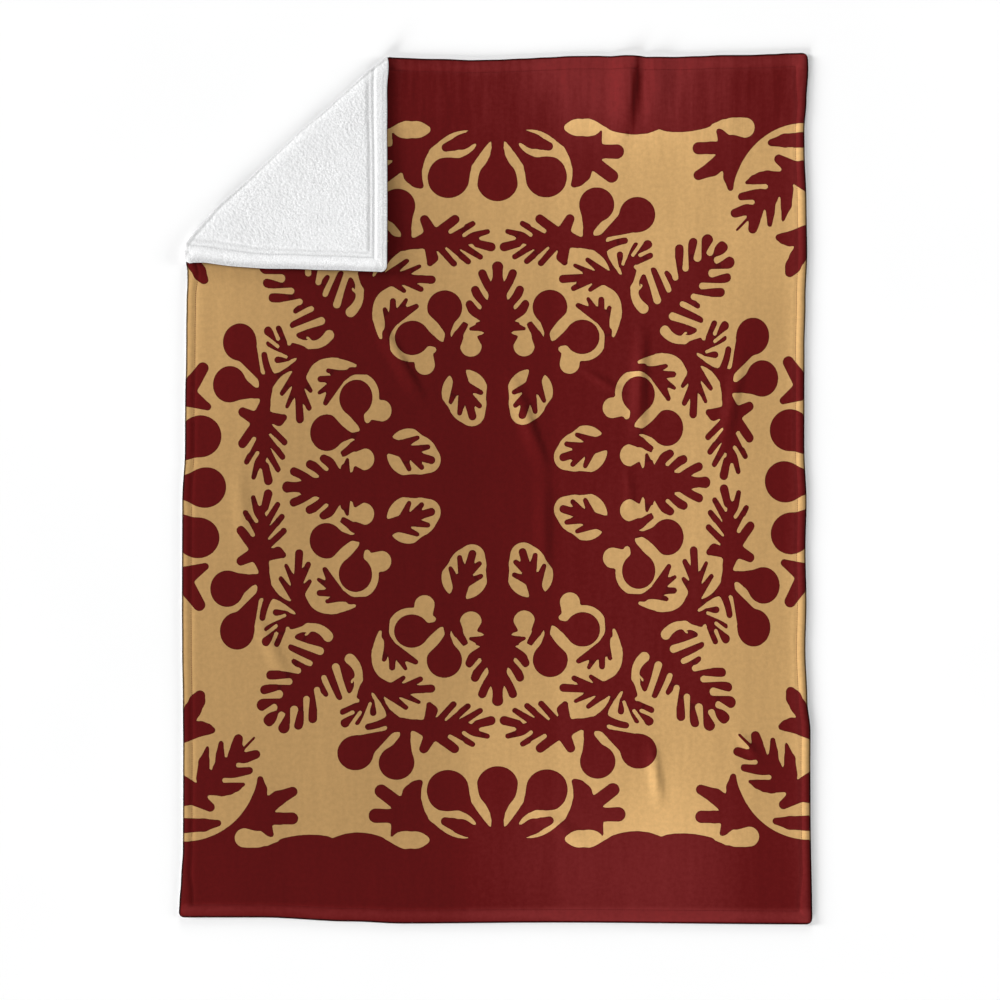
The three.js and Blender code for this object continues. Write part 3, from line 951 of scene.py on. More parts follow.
# Directions in the flat cloth that point out of its edge at the rim's points
def rim_outward(rim):
    ahead = np.roll(rim, -1, axis=0) - np.roll(rim, 1, axis=0)
    outward = np.stack([-ahead[:, 1], ahead[:, 0]], axis=1)
    return outward / np.linalg.norm(outward, axis=1)[:, None]


# Distance in from the cloth's edge, with its rounded corners
def inside_rounded(flat):
    from_middle = np.abs(flat - [WIDTH / 2, LENGTH / 2])
    beyond = from_middle - [WIDTH / 2 - CORNER_RADIUS, LENGTH / 2 - CORNER_RADIUS]
    outside = np.hypot(np.maximum(beyond[:, 0], 0), np.maximum(beyond[:, 1], 0))
    return CORNER_RADIUS - outside - np.minimum(np.maximum(beyond[:, 0], beyond[:, 1]), 0)


# Flat points on even rows, with more of them along the hem
def grid_points(cell, hem_lines=()):
    def places(size):
        count = round((size - 2 * HEM_BAND) / cell)
        middle = np.linspace(HEM_BAND, size - HEM_BAND, count + 1)
        lines = np.array(hem_lines) if len(hem_lines) else np.arange(cell, HEM_BAND - cell / 2, cell)
        return np.concatenate([lines, middle, size - lines])

    grid_x, grid_y = np.meshgrid(places(WIDTH), places(LENGTH))
    return np.stack([grid_x.ravel(), grid_y.ravel()], axis=1)


# Points in rows along the fold, close together through its roll
def roll_points():
    rows = []
    steps = round(FOLD_LENGTH / ROLL_STEP)
    for length in np.arange(-ROLL_BAND + ROLL_ROWS / 2, ROLL_BAND, ROLL_ROWS):
        near = np.array([0.0, FOLD_DOWN + 0.0])
        far = np.array([FOLD_ACROSS + 0.0, 0.0])
        outward = np.array([-FOLD_DOWN, -FOLD_ACROSS]) / FOLD_LENGTH
        shares = np.linspace(-ROLL_OVERRUN, 1 + ROLL_OVERRUN, steps)[:, None]
        rows.append(mix(near, far, shares) + length * outward)
    return np.concatenate(rows)


def away_from_fold(flat, band):
    return np.abs(fold_place(flat)[0]) > band


# Triangles over flat points, the rim's first. Returns the points and the triangles.
def flat_triangles(rim, points, outlines=None):
    count = len(rim)
    edges = [(i, (i + 1) % count) for i in range(count)]
    every = np.concatenate([rim, points])
    if outlines is not None:
        outline_points, pairs = outlines[0], outlines[1]
        edges.extend((pairs + len(every)).tolist())
        every = np.concatenate([every, outline_points])
    flipped = [Vector((x, -y)) for x, y in every.tolist()]
    made, _, faces, origins, _, _ = delaunay_2d_cdt(flipped, edges, [], 0, OUTLINE_TOLERANCE, True)
    places = np.array([(point.x, -point.y) for point in made])
    order = np.full(len(made), -1)
    for index, sources in enumerate(origins):
        first = min(sources) if sources else len(every)
        order[index] = first if first < count else -1
    rim_index = np.empty(count, int)
    rim_index[order[order >= 0]] = np.nonzero(order >= 0)[0]
    return places, np.array(faces), rim_index


# A closed sheet between two sets of heights over the line between the plies
def make_sheet(name, upper, lower, bulge, printed):
    upper_flat, upper_faces, upper_rim, upper_height = upper
    lower_flat, lower_faces, lower_rim, lower_height = lower
    upper_points = place_cloth(upper_flat) + cloth_normals(upper_flat) * upper_height[:, None]
    lower_points = place_cloth(lower_flat) + cloth_normals(lower_flat) * lower_height[:, None]
    rim = upper_flat[upper_rim]
    outward = rim_outward(rim)
    out = place_cloth(rim) - place_cloth(rim - outward)
    out = out / np.linalg.norm(out, axis=1)[:, None]
    points = [upper_points, lower_points]
    flats = [upper_flat, lower_flat]
    rings = [upper_rim]
    count = len(upper_points) + len(lower_points)
    for turn in range(1, RIM_TURNS):
        angle = math.pi * turn / RIM_TURNS
        share = (1 - math.cos(angle)) / 2
        ring = mix(upper_points[upper_rim], lower_points[lower_rim], share)
        points.append(ring + out * bulge * math.sin(angle))
        flats.append(rim)
        rings.append(np.arange(len(rim)) + count)
        count += len(rim)
    rings.append(lower_rim + len(upper_points))
    faces = upper_faces.tolist() + (lower_faces[:, ::-1] + len(upper_points)).tolist()
    for high, low in zip(rings, rings[1:]):
        ahead_high, ahead_low = np.roll(high, -1), np.roll(low, -1)
        faces.extend(np.stack([ahead_high, high, low, ahead_low], axis=1).tolist())
    every = np.concatenate(points)
    flat = np.concatenate(flats)
    mesh = bpy.data.meshes.new(name)
    mesh.from_pydata((every / METRE).tolist(), [], faces)
    mesh.update()
    corners = np.empty(len(mesh.loops), int)
    mesh.loops.foreach_get("vertex_index", corners)
    layout = mesh.uv_layers.new(name="cloth")
    layout.uv.foreach_set("vector", (flat[corners] / METRE).ravel())
    add_corner_values(mesh, "nap_and_painted_light", (nap_and_painted_light(flat) if printed else back_painted_light_and_shade(flat))[corners])
    if printed:
        add_depth(mesh, corners, flat)
    mesh.polygons.foreach_set("use_smooth", np.ones(len(mesh.polygons), bool))
    return finish_object(name, mesh)


# The print's depth at each face corner, of one sign over a whole face
def add_depth(mesh, corners, flat):
    depth = np.abs(print_depth(flat))[corners]
    starts = np.empty(len(mesh.polygons), int)
    totals = np.empty(len(mesh.polygons), int)
    mesh.polygons.foreach_get("loop_start", starts)
    mesh.polygons.foreach_get("loop_total", totals)
    sums = np.add.reduceat(flat[corners], starts, axis=0)
    middles = sums / totals[:, None]
    sign = np.where(print_depth(middles) > 0, 1, -1)
    signs = np.repeat(sign, totals)
    add_corner_values(mesh, "print_depth", signs * np.maximum(depth, LEAST_DEPTH))


def add_corner_values(mesh, name, values):
    attribute = mesh.attributes.new(name, "FLOAT", "CORNER")
    attribute.data.foreach_set("value", values.astype(np.float32))


def finish_object(name, mesh):
    piece = bpy.data.objects.new(name, mesh)
    bpy.context.collection.objects.link(piece)
    return piece


def hem_groove(rim, sizes):
    aside = (rim - sizes.hem_width * METRE) / (sizes.groove_width * METRE)
    return np.exp(-aside * aside)


# Height of the printed side over the line between the plies
def face_height(flat, sizes):
    rim = hem_place(flat)
    share = np.clip(rim / (sizes.hem_width * METRE), 0, 1)
    puff = sizes.hem_puff * METRE * np.sin(math.pi * share)
    groove = FACE_GROOVE_SHARE * sizes.groove_depth * METRE * hem_groove(rim, sizes)
    return PLY_GAP / 2 + FACE_THICKNESS + puff - groove


# Rounded lumps, 0 to 1, on a jittered grid of cells
def lumps(flat, cell, seed):
    draw = np.random.default_rng(seed)
    shape = (math.ceil(WIDTH / cell) + 2 * LUMP_MARGIN, math.ceil(LENGTH / cell) + 2 * LUMP_MARGIN)
    jitter = draw.uniform(*LUMP_JITTER, shape + (2,))
    size = draw.uniform(*LUMP_SIZES, shape)
    place = flat / cell + LUMP_MARGIN
    home = np.floor(place).astype(int)
    height = np.zeros(len(flat))
    for step_x in (-1, 0, 1):
        for step_y in (-1, 0, 1):
            cell_x = np.clip(home[:, 0] + step_x, 0, shape[0] - 1)
            cell_y = np.clip(home[:, 1] + step_y, 0, shape[1] - 1)
            away = np.stack([cell_x, cell_y], axis=1) + jitter[cell_x, cell_y] - place
            distance = np.hypot(away[:, 0], away[:, 1])
            height = np.maximum(height, size[cell_x, cell_y] * (1 - ease(distance / LUMP_REACH)))
    return height


# Thickness of the back below the line between the plies
def back_depth(flat, sizes):
    length = fold_place(flat)[0]
    hem = sizes.hem_width * METRE
    thickness = BACK_THICKNESS * mix(RIM_SHARE, 1, ease(from_rim(flat) / RIM_WIDTH))
    rim = hem_place(flat)
    groove = sizes.groove_depth * METRE
    thickness = thickness - FIRST_GROOVE_SHARE * groove * hem_groove(rim, sizes)
    thickness = thickness - SECOND_GROOVE_SHARE * groove * hem_groove(rim - SECOND_GROOVE, sizes)
    pile = lumps(flat, sizes.lump_size * METRE, LUMP_SEED) * sizes.lump_height * METRE
    shown = ease((length - PILE_START) / ROLL_BAND)
    inside_hem = ease((rim - hem - SECOND_GROOVE) / PILE_FADE)
    pile_rise = mix(pile - sizes.lump_height * METRE, pile, shown)
    puckers = PUCKER_HEIGHT * np.sin((flat[:, 0] + flat[:, 1]) * 2 * math.pi / PUCKER_LENGTH)
    puckers = puckers * np.sin(math.pi * np.clip(rim / hem, 0, 1)) * shown
    flap_puff = sizes.hem_puff * METRE * np.sin(math.pi * np.clip(rim / hem, 0, 1)) * shown
    return PLY_GAP / 2 + thickness + pile_rise * inside_hem + puckers + flap_puff


# Painted light and shade on the back's pile: painted shade over the turned fold, along the seams and at the
# flap's low and far edges, and painted light along the flap's hem and far rim
def back_painted_light_and_shade(flat):
    length = fold_place(flat)[0]
    rim = from_rim(flat)
    fold = 1 - ease((np.abs(length - FOLD_SHADE_PLACE) - FOLD_SHADE_FLAT) / FOLD_SHADE_REACH)
    tone = 1 - FOLD_SHADE * fold
    on_flap = ease(length / ROLL_BAND)
    low_hem = 1 - ease(flat[:, 0] / HEM_SHADE_REACH)
    far_hem = 1 - ease(flat[:, 1] / HEM_SHADE_REACH)
    tone = tone * (1 - on_flap * np.maximum(LOW_HEM_SHADE * low_hem, FAR_HEM_SHADE * far_hem))
    near_hem = np.sin(math.pi * np.clip(flat[:, 0] / FLAP_HEM_WIDTH, 0, 1))
    tone = tone * (1 + on_flap * FLAP_HEM_LIGHT * near_hem)
    ridge = (flat[:, 1] - FAR_RIDGE_PLACE) / FAR_RIDGE_WIDTH
    far_rim = (flat[:, 1] - FAR_RIM_PLACE) / FAR_RIM_WIDTH
    tone = tone * (1 - on_flap * FAR_RIDGE_SHADE * np.exp(-ridge * ridge))
    tone = tone * (1 + on_flap * FAR_RIM_LIGHT * np.exp(-far_rim * far_rim))
    first = (rim - SEAM_SHADE_PLACE) / SEAM_SHADE_WIDTH
    second = (rim - SEAM_SHADE_PLACE - SECOND_GROOVE) / SEAM_SHADE_WIDTH
    return tone * (1 - SEAM_SHADE * (np.exp(-first * first) + np.exp(-second * second)))


def build_face(sizes):
    rim = rim_points()
    outlines = print_outlines()
    grid = grid_points(FACE_CELL, HEM_LINES)
    grid = grid[np.abs(print_depth(grid)) > PRINT_CELL]
    points = np.concatenate([grid[away_from_fold(grid, ROLL_BAND)], roll_points()])
    points = np.concatenate([points, outlines[2]])
    points = points[inside_rounded(points) > POINT_CLEARANCE]
    kept = inside_rounded(outlines[0]) > OUTLINE_CLEARANCE
    renumber = np.cumsum(kept) - 1
    pairs = outlines[1][kept[outlines[1]].all(axis=1)]
    outlines = (outlines[0][kept], renumber[pairs])
    upper_flat, upper_faces, upper_rim = flat_triangles(rim, points, outlines)
    lower_flat, lower_faces, lower_rim = plain_points(rim, HIDDEN_CELL)
    upper = (upper_flat, upper_faces, upper_rim, face_height(upper_flat, sizes))
    lower = (lower_flat, lower_faces, lower_rim, np.full(len(lower_flat), PLY_GAP / 2))
    return make_sheet("printed_face", upper, lower, RIM_BULGE_FACE, printed=True)


def plain_points(rim, cell):
    grid = grid_points(cell)
    points = np.concatenate([grid[away_from_fold(grid, ROLL_BAND)], roll_points()])
    points = points[inside_rounded(points) > POINT_CLEARANCE]
    return flat_triangles(rim, points)


def build_back(sizes):
    rim = rim_points()
    grid = grid_points(BACK_CELL, HEM_LINES)
    grid = grid[fold_place(grid)[0] < -ROLL_BAND]
    reach = max(FOLD_ACROSS, FOLD_DOWN) + 2 * ROLL_BAND
    fine = np.arange(FLAP_CELL, reach, FLAP_CELL)
    fine_x, fine_y = np.meshgrid(fine, fine)
    shift = np.where(np.arange(len(fine)) % 2, FLAP_CELL / 2, 0)[:, None]
    flap = np.stack([(fine_x + shift).ravel(), fine_y.ravel()], axis=1)
    flap = flap[fold_place(flap)[0] > -ROLL_BAND]
    points = np.concatenate([grid, flap])
    points = points[inside_rounded(points) > POINT_CLEARANCE]
    lower_flat, lower_faces, lower_rim = flat_triangles(rim, points)
    upper_flat, upper_faces, upper_rim = plain_points(rim, HIDDEN_CELL)
    upper = (upper_flat, upper_faces, upper_rim, np.full(len(upper_flat), -PLY_GAP / 2))
    lower = (lower_flat, lower_faces, lower_rim, -back_depth(lower_flat, sizes))
    return make_sheet("fleece_back", upper, lower, RIM_BULGE_BACK, printed=False)


# A loop of small threads along the hem, on the printed side or on the back
def build_stitches(name, sizes, side):
    pitch = sizes.stitch_pitch * METRE
    hem = sizes.hem_width * METRE
    thread = sizes.thread_width * METRE
    corners = [(hem, LENGTH - hem), (WIDTH - hem, LENGTH - hem), (WIDTH - hem, hem), (hem, hem)]
    centres, directions = [], []
    for corner, start in enumerate(corners):
        end = corners[(corner + 1) % len(corners)]
        start, end = np.array(start), np.array(end)
        run = end - start
        count = round(np.linalg.norm(run) / pitch)
        for i in range(count):
            centres.append(mix(start, end, (i + 0.5) / count))
            directions.append(run / np.linalg.norm(run))
    centres, directions = np.array(centres), np.array(directions)
    centres[:, 0] += side_hem_shift(centres) * np.sign(centres[:, 0] - WIDTH / 2)
    normals = cloth_normals(centres) * side
    ahead = place_cloth(centres + directions) - place_cloth(centres - directions)
    ahead = ahead / np.linalg.norm(ahead, axis=1)[:, None]
    aside = np.cross(normals, ahead)
    height = face_height(centres, sizes) if side > 0 else back_depth(centres, sizes)
    places = place_cloth(centres) + normals * (height + THREAD_LIFT * thread)[:, None]
    bpy.ops.mesh.primitive_uv_sphere_add(segments=THREAD_SEGMENTS, ring_count=THREAD_RINGS, radius=1)
    stitch = bpy.context.object
    shape = np.array([vertex.co[:] for vertex in stitch.data.vertices])
    shape = shape[:, [2, 0, 1]] * [pitch * THREAD_HALF_SHARE, thread / 2, thread / 2]
    polygons = [list(polygon.vertices) for polygon in stitch.data.polygons]
    bpy.data.objects.remove(stitch)
    frames = np.stack([ahead, aside, normals], axis=1)
    points = np.einsum("vk,skc->svc", shape, frames) + places[:, None, :]
    faces = []
    for i in range(len(centres)):
        faces.extend([[index + i * len(shape) for index in polygon] for polygon in polygons])
    mesh = bpy.data.meshes.new(name)
    mesh.from_pydata((points.reshape(-1, 3) / METRE).tolist(), [], faces)
    mesh.polygons.foreach_set("use_smooth", np.ones(len(mesh.polygons), bool))
    mesh.update()
    return finish_object(name, mesh)


# A new material, its node tree and its shader
def new_material(name):
    material = bpy.data.materials.new(name)
    material.use_nodes = True
    nodes = material.node_tree.nodes
    return material, material.node_tree, nodes["Principled BSDF"]


def add_node(tree, kind, **settings):
    node = tree.nodes.new(kind)
    for name, value in settings.items():
        setattr(node, name, value)
    return node


def colour(value):
    return (value[0], value[1], value[2], 1)


# The cloth's own flat coordinates in metres
def cloth_coordinates(tree, scale=(1, 1, 1)):
    layout = add_node(tree, "ShaderNodeUVMap", uv_map="cloth")
    mapping = add_node(tree, "ShaderNodeMapping")
    mapping.inputs["Scale"].default_value = scale
    tree.links.new(layout.outputs["UV"], mapping.inputs["Vector"])
    return mapping.outputs["Vector"]


def add_noise(tree, coordinates, scale, detail=2, roughness=0.5):
    noise = add_node(tree, "ShaderNodeTexNoise")
    noise.inputs["Scale"].default_value = scale
    noise.inputs["Detail"].default_value = detail
    noise.inputs["Roughness"].default_value = roughness
    tree.links.new(coordinates, noise.inputs["Vector"])
    return noise.outputs["Fac"]


def add_math(tree, operation, first, second=None, clamp=False):
    node = add_node(tree, "ShaderNodeMath", operation=operation, use_clamp=clamp)
    for socket, value in zip(node.inputs, (first, second)):
        if value is None:
            continue
        if isinstance(value, (int, float)):
            socket.default_value = value
        else:
            tree.links.new(value, socket)
    return node.outputs["Value"]


# Maps a value from one range to another, easing at both ends
def add_range(tree, value, low, high, to_low=0.0, to_high=1.0, eased=True):
    node = add_node(tree, "ShaderNodeMapRange")
    node.interpolation_type = "SMOOTHSTEP" if eased else "LINEAR"
    node.inputs["From Min"].default_value = low
    node.inputs["From Max"].default_value = high
    node.inputs["To Min"].default_value = to_low
    node.inputs["To Max"].default_value = to_high
    tree.links.new(value, node.inputs["Value"])
    return node.outputs["Result"]


def add_mix(tree, share, first, second, blend="MIX"):
    node = add_node(tree, "ShaderNodeMix", data_type="RGBA", blend_type=blend)
    colours = [socket for socket in node.inputs if socket.type == "RGBA"]
    for socket, value in zip(colours, (first, second)):
        if isinstance(value, tuple):
            socket.default_value = value
        else:
            tree.links.new(value, socket)
    factor = node.inputs[0]
    if isinstance(share, (int, float)):
        factor.default_value = share
    else:
        tree.links.new(share, factor)
    return [socket for socket in node.outputs if socket.type == "RGBA"][0]


# A grey colour from a value, to multiply a colour by
def add_grey(tree, value):
    node = add_node(tree, "ShaderNodeCombineColor")
    for name in ("Red", "Green", "Blue"):
        tree.links.new(value, node.inputs[name])
    return node.outputs["Color"]


def add_bump(tree, height, strength, distance, normal=None):
    bump = add_node(tree, "ShaderNodeBump")
    bump.inputs["Strength"].default_value = strength
    bump.inputs["Distance"].default_value = distance
    tree.links.new(height, bump.inputs["Height"])
    if normal is not None:
        tree.links.new(normal, bump.inputs["Normal"])
    return bump.outputs["Normal"]


# The cloth's flat coordinates one by one
def cloth_axes(tree):
    layout = add_node(tree, "ShaderNodeUVMap", uv_map="cloth")
    split = add_node(tree, "ShaderNodeSeparateXYZ")
    tree.links.new(layout.outputs["UV"], split.inputs["Vector"])
    return split.outputs


# Joins the base colour and the nap to a cloth's shader, and sets how it shines
def finish_shader(tree, shader, base, roughness, specular, sheen=0.0, nap=None):
    tree.links.new(base, shader.inputs["Base Color"])
    shader.inputs["Roughness"].default_value = roughness
    shader.inputs["Specular IOR Level"].default_value = specular
    if sheen:
        shader.inputs["Sheen Weight"].default_value = sheen
        shader.inputs["Sheen Roughness"].default_value = SHEEN_ROUGHNESS
    if nap is not None:
        tree.links.new(nap, shader.inputs["Normal"])


# Short printed plush: crimson shapes with a darker rim on gold, mottled where the pile lies other ways, with
# painted light and shade from its attribute, painted shade at the cloth's edge and a painted sheen where the
# painted light is strongest
def printed_plush(colours):
    material, tree, shader = new_material("printed_plush")
    depth = add_node(tree, "ShaderNodeAttribute", attribute_name="print_depth").outputs["Fac"]
    fine = add_noise(tree, cloth_coordinates(tree), scale=900, detail=2, roughness=0.6)
    ragged = add_range(tree, fine, low=0.2, high=0.8, to_low=-0.4, to_high=0.4)
    edge = add_math(tree, "ADD", depth, ragged)
    crimson_share = add_range(tree, edge, low=-0.3, high=0.3)
    rim_share = add_range(tree, edge, low=0.6, high=2.4, to_low=0.7, to_high=0.0)
    crimson = add_mix(tree, rim_share, colour(colours.crimson), colour(colours.rim_crimson))
    printed = add_mix(tree, crimson_share, colour(colours.gold), crimson)
    broad = add_noise(tree, cloth_coordinates(tree, (1, 0.35, 1)), scale=5.5, detail=3, roughness=0.55)
    streaks = add_noise(tree, cloth_coordinates(tree, (1, 0.12, 1)), scale=60, detail=3, roughness=0.6)
    mottle = add_noise(tree, cloth_coordinates(tree), scale=130, detail=4, roughness=0.65)
    tone = add_range(tree, broad, low=0.3, high=0.7, to_low=0.97, to_high=1.03)
    mottle_tone = add_range(tree, mottle, low=0.25, high=0.75, to_low=0.93, to_high=1.07)
    tone = add_math(tree, "MULTIPLY", tone, mottle_tone)
    streak_tone = add_range(tree, streaks, low=0.3, high=0.7, to_low=-1.0, to_high=1.0)
    streak_tone = add_math(tree, "MULTIPLY", streak_tone, streak_strength(tree))
    tone = add_math(tree, "MULTIPLY", tone, add_math(tree, "ADD", streak_tone, 1.0))
    flecks = add_noise(tree, cloth_coordinates(tree, (1, 0.5, 1)), scale=280, detail=3, roughness=0.7)
    flecks = add_range(tree, flecks, low=0.58, high=0.72)
    flecks = add_math(tree, "MULTIPLY", flecks, streak_strength(tree))
    tone = add_math(tree, "MULTIPLY", tone, add_math(tree, "ADD", flecks, 1.0))
    # Painted light and shade, with the pile's nap, from the corner attribute
    light_and_nap_node = add_node(tree, "ShaderNodeAttribute", attribute_name="nap_and_painted_light")
    tone = add_math(tree, "MULTIPLY", tone, light_and_nap_node.outputs["Fac"])
    tone = add_math(tree, "MULTIPLY", tone, dark_rim(tree))
    base = add_mix(tree, 1.0, printed, add_grey(tree, tone), "MULTIPLY")
    # A painted sheen: a whitish lift where the painted light is strongest
    painted_sheen = add_range(tree, tone, low=1.0, high=1.6, to_low=0.0, to_high=0.011, eased=False)
    base = add_mix(tree, 1.0, base, add_grey(tree, painted_sheen), "ADD")
    shader.inputs["Sheen Tint"].default_value = (1, 0.72, 0.62, 1)
    nap = add_bump(tree, mottle, strength=0.35, distance=0.0006)
    hairs = add_noise(tree, cloth_coordinates(tree), scale=700, detail=3, roughness=0.7)
    nap = add_bump(tree, hairs, strength=0.5, distance=0.0003, normal=nap)
    finish_shader(tree, shader, base, roughness=0.85, specular=0.04, sheen=0.04, nap=nap)
    return material


# The streaks are stronger along the far edge
def streak_strength(tree):
    return add_range(tree, cloth_axes(tree)["Y"], low=0.05, high=0.22, to_low=0.1, to_high=0.03)


# The cloth's very edge lies in shade
def dark_rim(tree):
    axes = cloth_axes(tree)
    distances = []
    for axis, size in (("X", WIDTH / METRE), ("Y", LENGTH / METRE)):
        from_middle = add_math(tree, "SUBTRACT", axes[axis], size / 2)
        from_middle = add_math(tree, "ABSOLUTE", from_middle)
        distances.append(add_math(tree, "SUBTRACT", size / 2, from_middle))
    nearest = add_math(tree, "MINIMUM", distances[0], distances[1])
    return add_range(tree, nearest, low=0.0008, high=0.0038, to_low=0.15, to_high=1.0)


# White pile of fine curls, with painted shade in the hollows between them
def white_pile(colours):
    material, tree, shader = new_material("white_pile")
    coordinates = cloth_coordinates(tree)
    curls = add_node(tree, "ShaderNodeTexVoronoi", feature="SMOOTH_F1")
    curls.inputs["Scale"].default_value = 420
    curls.inputs["Smoothness"].default_value = 0.6
    warp = add_node(tree, "ShaderNodeVectorMath", operation="MULTIPLY_ADD")
    noise = add_node(tree, "ShaderNodeTexNoise")
    noise.inputs["Scale"].default_value = 260
    noise.inputs["Detail"].default_value = 2
    tree.links.new(coordinates, noise.inputs["Vector"])
    tree.links.new(noise.outputs["Color"], warp.inputs[0])
    warp.inputs[1].default_value = (0.004, 0.004, 0.004)
    tree.links.new(coordinates, warp.inputs[2])
    tree.links.new(warp.outputs["Vector"], curls.inputs["Vector"])
    # Painted shade in the hollows between the curls
    tone = add_range(tree, curls.outputs["Distance"], low=0.1, high=0.9, to_low=1.0, to_high=0.86)
    broad = add_noise(tree, coordinates, scale=30, detail=3, roughness=0.6)
    broad_tone = add_range(tree, broad, low=0.25, high=0.75, to_low=0.97, to_high=1.02)
    tone = add_math(tree, "MULTIPLY", tone, broad_tone)
    patches = add_noise(tree, coordinates, scale=14, detail=2, roughness=0.5)
    patches = add_range(tree, patches, low=0.45, high=0.62, to_low=0.04, to_high=0.16)
    grain = add_noise(tree, coordinates, scale=380, detail=2, roughness=0.8)
    grain = add_range(tree, grain, low=0.3, high=0.7, to_low=-1.0, to_high=1.0)
    grain = add_math(tree, "MULTIPLY", grain, patches)
    tone = add_math(tree, "MULTIPLY", tone, add_math(tree, "ADD", grain, 1.0))
    # Painted light and shade on the back, from the corner attribute
    light_and_nap_node = add_node(tree, "ShaderNodeAttribute", attribute_name="nap_and_painted_light")
    tone = add_math(tree, "MULTIPLY", tone, light_and_nap_node.outputs["Fac"])
    base = add_mix(tree, 1.0, colour(colours.fleece), add_grey(tree, tone), "MULTIPLY")
    inverted = add_math(tree, "MULTIPLY", curls.outputs["Distance"], -1)
    nap = add_bump(tree, inverted, strength=0.45, distance=0.0012)
    finish_shader(tree, shader, base, roughness=0.95, specular=0.05, sheen=0.03, nap=nap)
    return material


def sewing_thread(name, value):
    material, tree, shader = new_material(name)
    coordinates = add_node(tree, "ShaderNodeTexCoord").outputs["Object"]
    twist = add_noise(tree, coordinates, scale=3000, detail=1, roughness=0.5)
    tone = add_range(tree, twist, low=0.3, high=0.7, to_low=0.85, to_high=1.1)
    base = add_mix(tree, 1.0, colour(value), add_grey(tree, tone), "MULTIPLY")
    finish_shader(tree, shader, base, roughness=0.7, specular=0.1)
    return material


def pale_floor(colours):
    material, tree, shader = new_material("pale_floor")
    coordinates = add_node(tree, "ShaderNodeTexCoord").outputs["Object"]
    clouds = add_noise(tree, coordinates, scale=2, detail=2, roughness=0.5)
    tone = add_range(tree, clouds, low=0.2, high=0.8, to_low=0.99, to_high=1.01)
    base = add_mix(tree, 1.0, colour(colours.floor), add_grey(tree, tone), "MULTIPLY")
    finish_shader(tree, shader, base, roughness=0.9, specular=0.1)
    return material


class QUILT_OT_face(bpy.types.Operator):
    """Make the printed face, replacing its plain solid"""
    bl_idname = "quilt.make_face"
    bl_label = "Printed face"

    def execute(self, context):
        scene = context.scene
        piece = build_face(scene.quilt_sizes)
        piece.data.materials.append(printed_plush(scene.quilt_colours))
        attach(piece, "root")
        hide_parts("face_panel")
        stitches = build_stitches("face_stitches", scene.quilt_sizes, 1)
        stitches.data.materials.append(sewing_thread("crimson_thread", scene.quilt_colours.crimson))
        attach(stitches, "root")
        return {"FINISHED"}


class QUILT_OT_back(bpy.types.Operator):
    """Make the white fleece back, replacing its plain solid"""
    bl_idname = "quilt.make_back"
    bl_label = "Fleece back"

    def execute(self, context):
        scene = context.scene
        piece = build_back(scene.quilt_sizes)
        piece.data.materials.append(white_pile(scene.quilt_colours))
        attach(piece, "root")
        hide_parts("back_panel")
        stitches = build_stitches("back_stitches", scene.quilt_sizes, -1)
        stitches.data.materials.append(sewing_thread("white_thread", scene.quilt_colours.thread))
        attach(stitches, "root")
        return {"FINISHED"}


def add_sun(name, direction, height, share):
    around, up = math.radians(direction), math.radians(height)
    towards = Vector((math.cos(around) * math.cos(up), math.sin(around) * math.cos(up), math.sin(up)))
    bpy.ops.object.light_add(type="SUN", location=towards * SUN_DISTANCE)
    sun = bpy.context.object
    sun.name = name
    sun.rotation_euler = towards.to_track_quat("Z", "Y").to_euler()
    sun.data.energy = share * math.pi / math.sin(up)
    sun.data.angle = math.radians(SIDE_LIGHT_SPREAD)


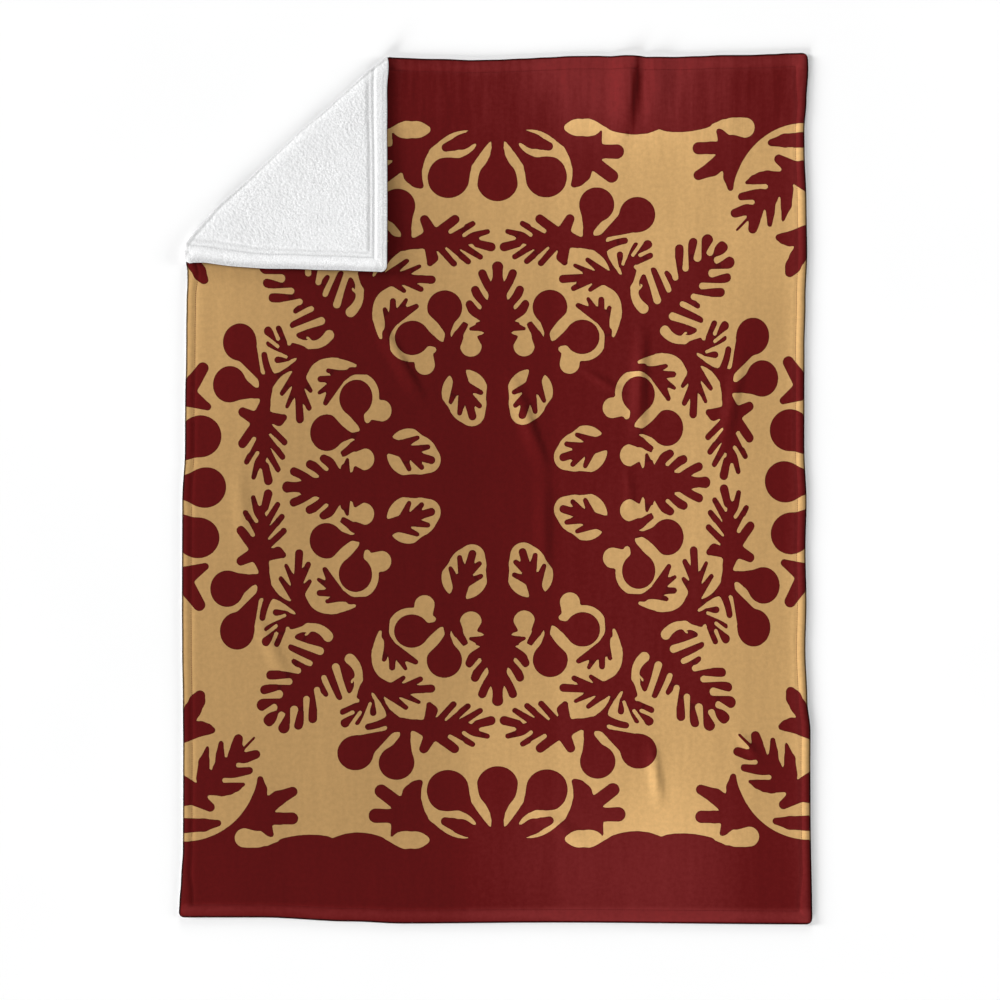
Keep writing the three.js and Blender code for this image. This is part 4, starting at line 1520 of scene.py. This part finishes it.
class QUILT_OT_stage(bpy.types.Operator):
    """Make the pale floor, the soft studio light and the camera"""
    bl_idname = "quilt.make_stage"
    bl_label = "Floor, light and camera"

    def execute(self, context):
        scene = context.scene
        bpy.ops.mesh.primitive_plane_add(size=FLOOR_SIZE, location=(0, 0, 0))
        floor = context.object
        floor.name = "floor"
        floor.data.materials.append(pale_floor(scene.quilt_colours))
        world = bpy.data.worlds.new("studio")
        world.use_nodes = True
        world.node_tree.nodes["Background"].inputs["Color"].default_value = (1, 1, 1, 1)
        world.node_tree.nodes["Background"].inputs["Strength"].default_value = ROOM_LIGHT
        scene.world = world
        for name, direction, height, share in SIDE_LIGHTS:
            add_sun(name, direction, height, share)
        elevation = math.radians(CAMERA_ELEVATION)
        back = Vector((0, -math.cos(elevation), math.sin(elevation)))
        bpy.ops.object.camera_add(location=Vector(CAMERA_TARGET) + back * CAMERA_DISTANCE)
        camera = context.object
        camera.name = "camera"
        camera.rotation_euler = (-back).to_track_quat("-Z", "Y").to_euler()
        camera.data.sensor_width = SENSOR
        view_width = PICTURE_PIXELS * PICTURE_SCALE / METRE
        camera.data.lens = SENSOR * CAMERA_DISTANCE / view_width
        camera.data.clip_end = VIEW_REACH
        scene.camera = camera
        scene.view_settings.view_transform = "Standard"
        return {"FINISHED"}


class QUILT_PT_panel(bpy.types.Panel):
    """The quilt's steps, sizes and colours"""
    bl_idname = "QUILT_PT_panel"
    bl_label = "Quilt"
    bl_space_type = "VIEW_3D"
    bl_region_type = "UI"
    bl_category = "Quilt"

    def draw(self, context):
        layout = self.layout
        for step in STEPS:
            layout.operator(step.bl_idname)
        for group in (context.scene.quilt_sizes, context.scene.quilt_colours):
            box = layout.box()
            for name in group.__annotations__:
                box.prop(group, name)


STEPS = (QUILT_OT_face, QUILT_OT_back, QUILT_OT_stage)
CLASSES = (QuiltSizes, QuiltColours) + STEPS + (QUILT_PT_panel,)


def register():
    for kind in CLASSES:
        bpy.utils.register_class(kind)
    bpy.types.Scene.quilt_sizes = PointerProperty(type=QuiltSizes)
    bpy.types.Scene.quilt_colours = PointerProperty(type=QuiltColours)


def unregister():
    del bpy.types.Scene.quilt_colours
    del bpy.types.Scene.quilt_sizes
    for kind in reversed(CLASSES):
        bpy.utils.unregister_class(kind)


def main():
    register()
    bpy.ops.object.select_all(action="DESELECT")
    bpy.ops.quilt.make_back()
    bpy.ops.quilt.make_face()
    bpy.ops.quilt.make_stage()


if __name__ == "__main__":
    main()
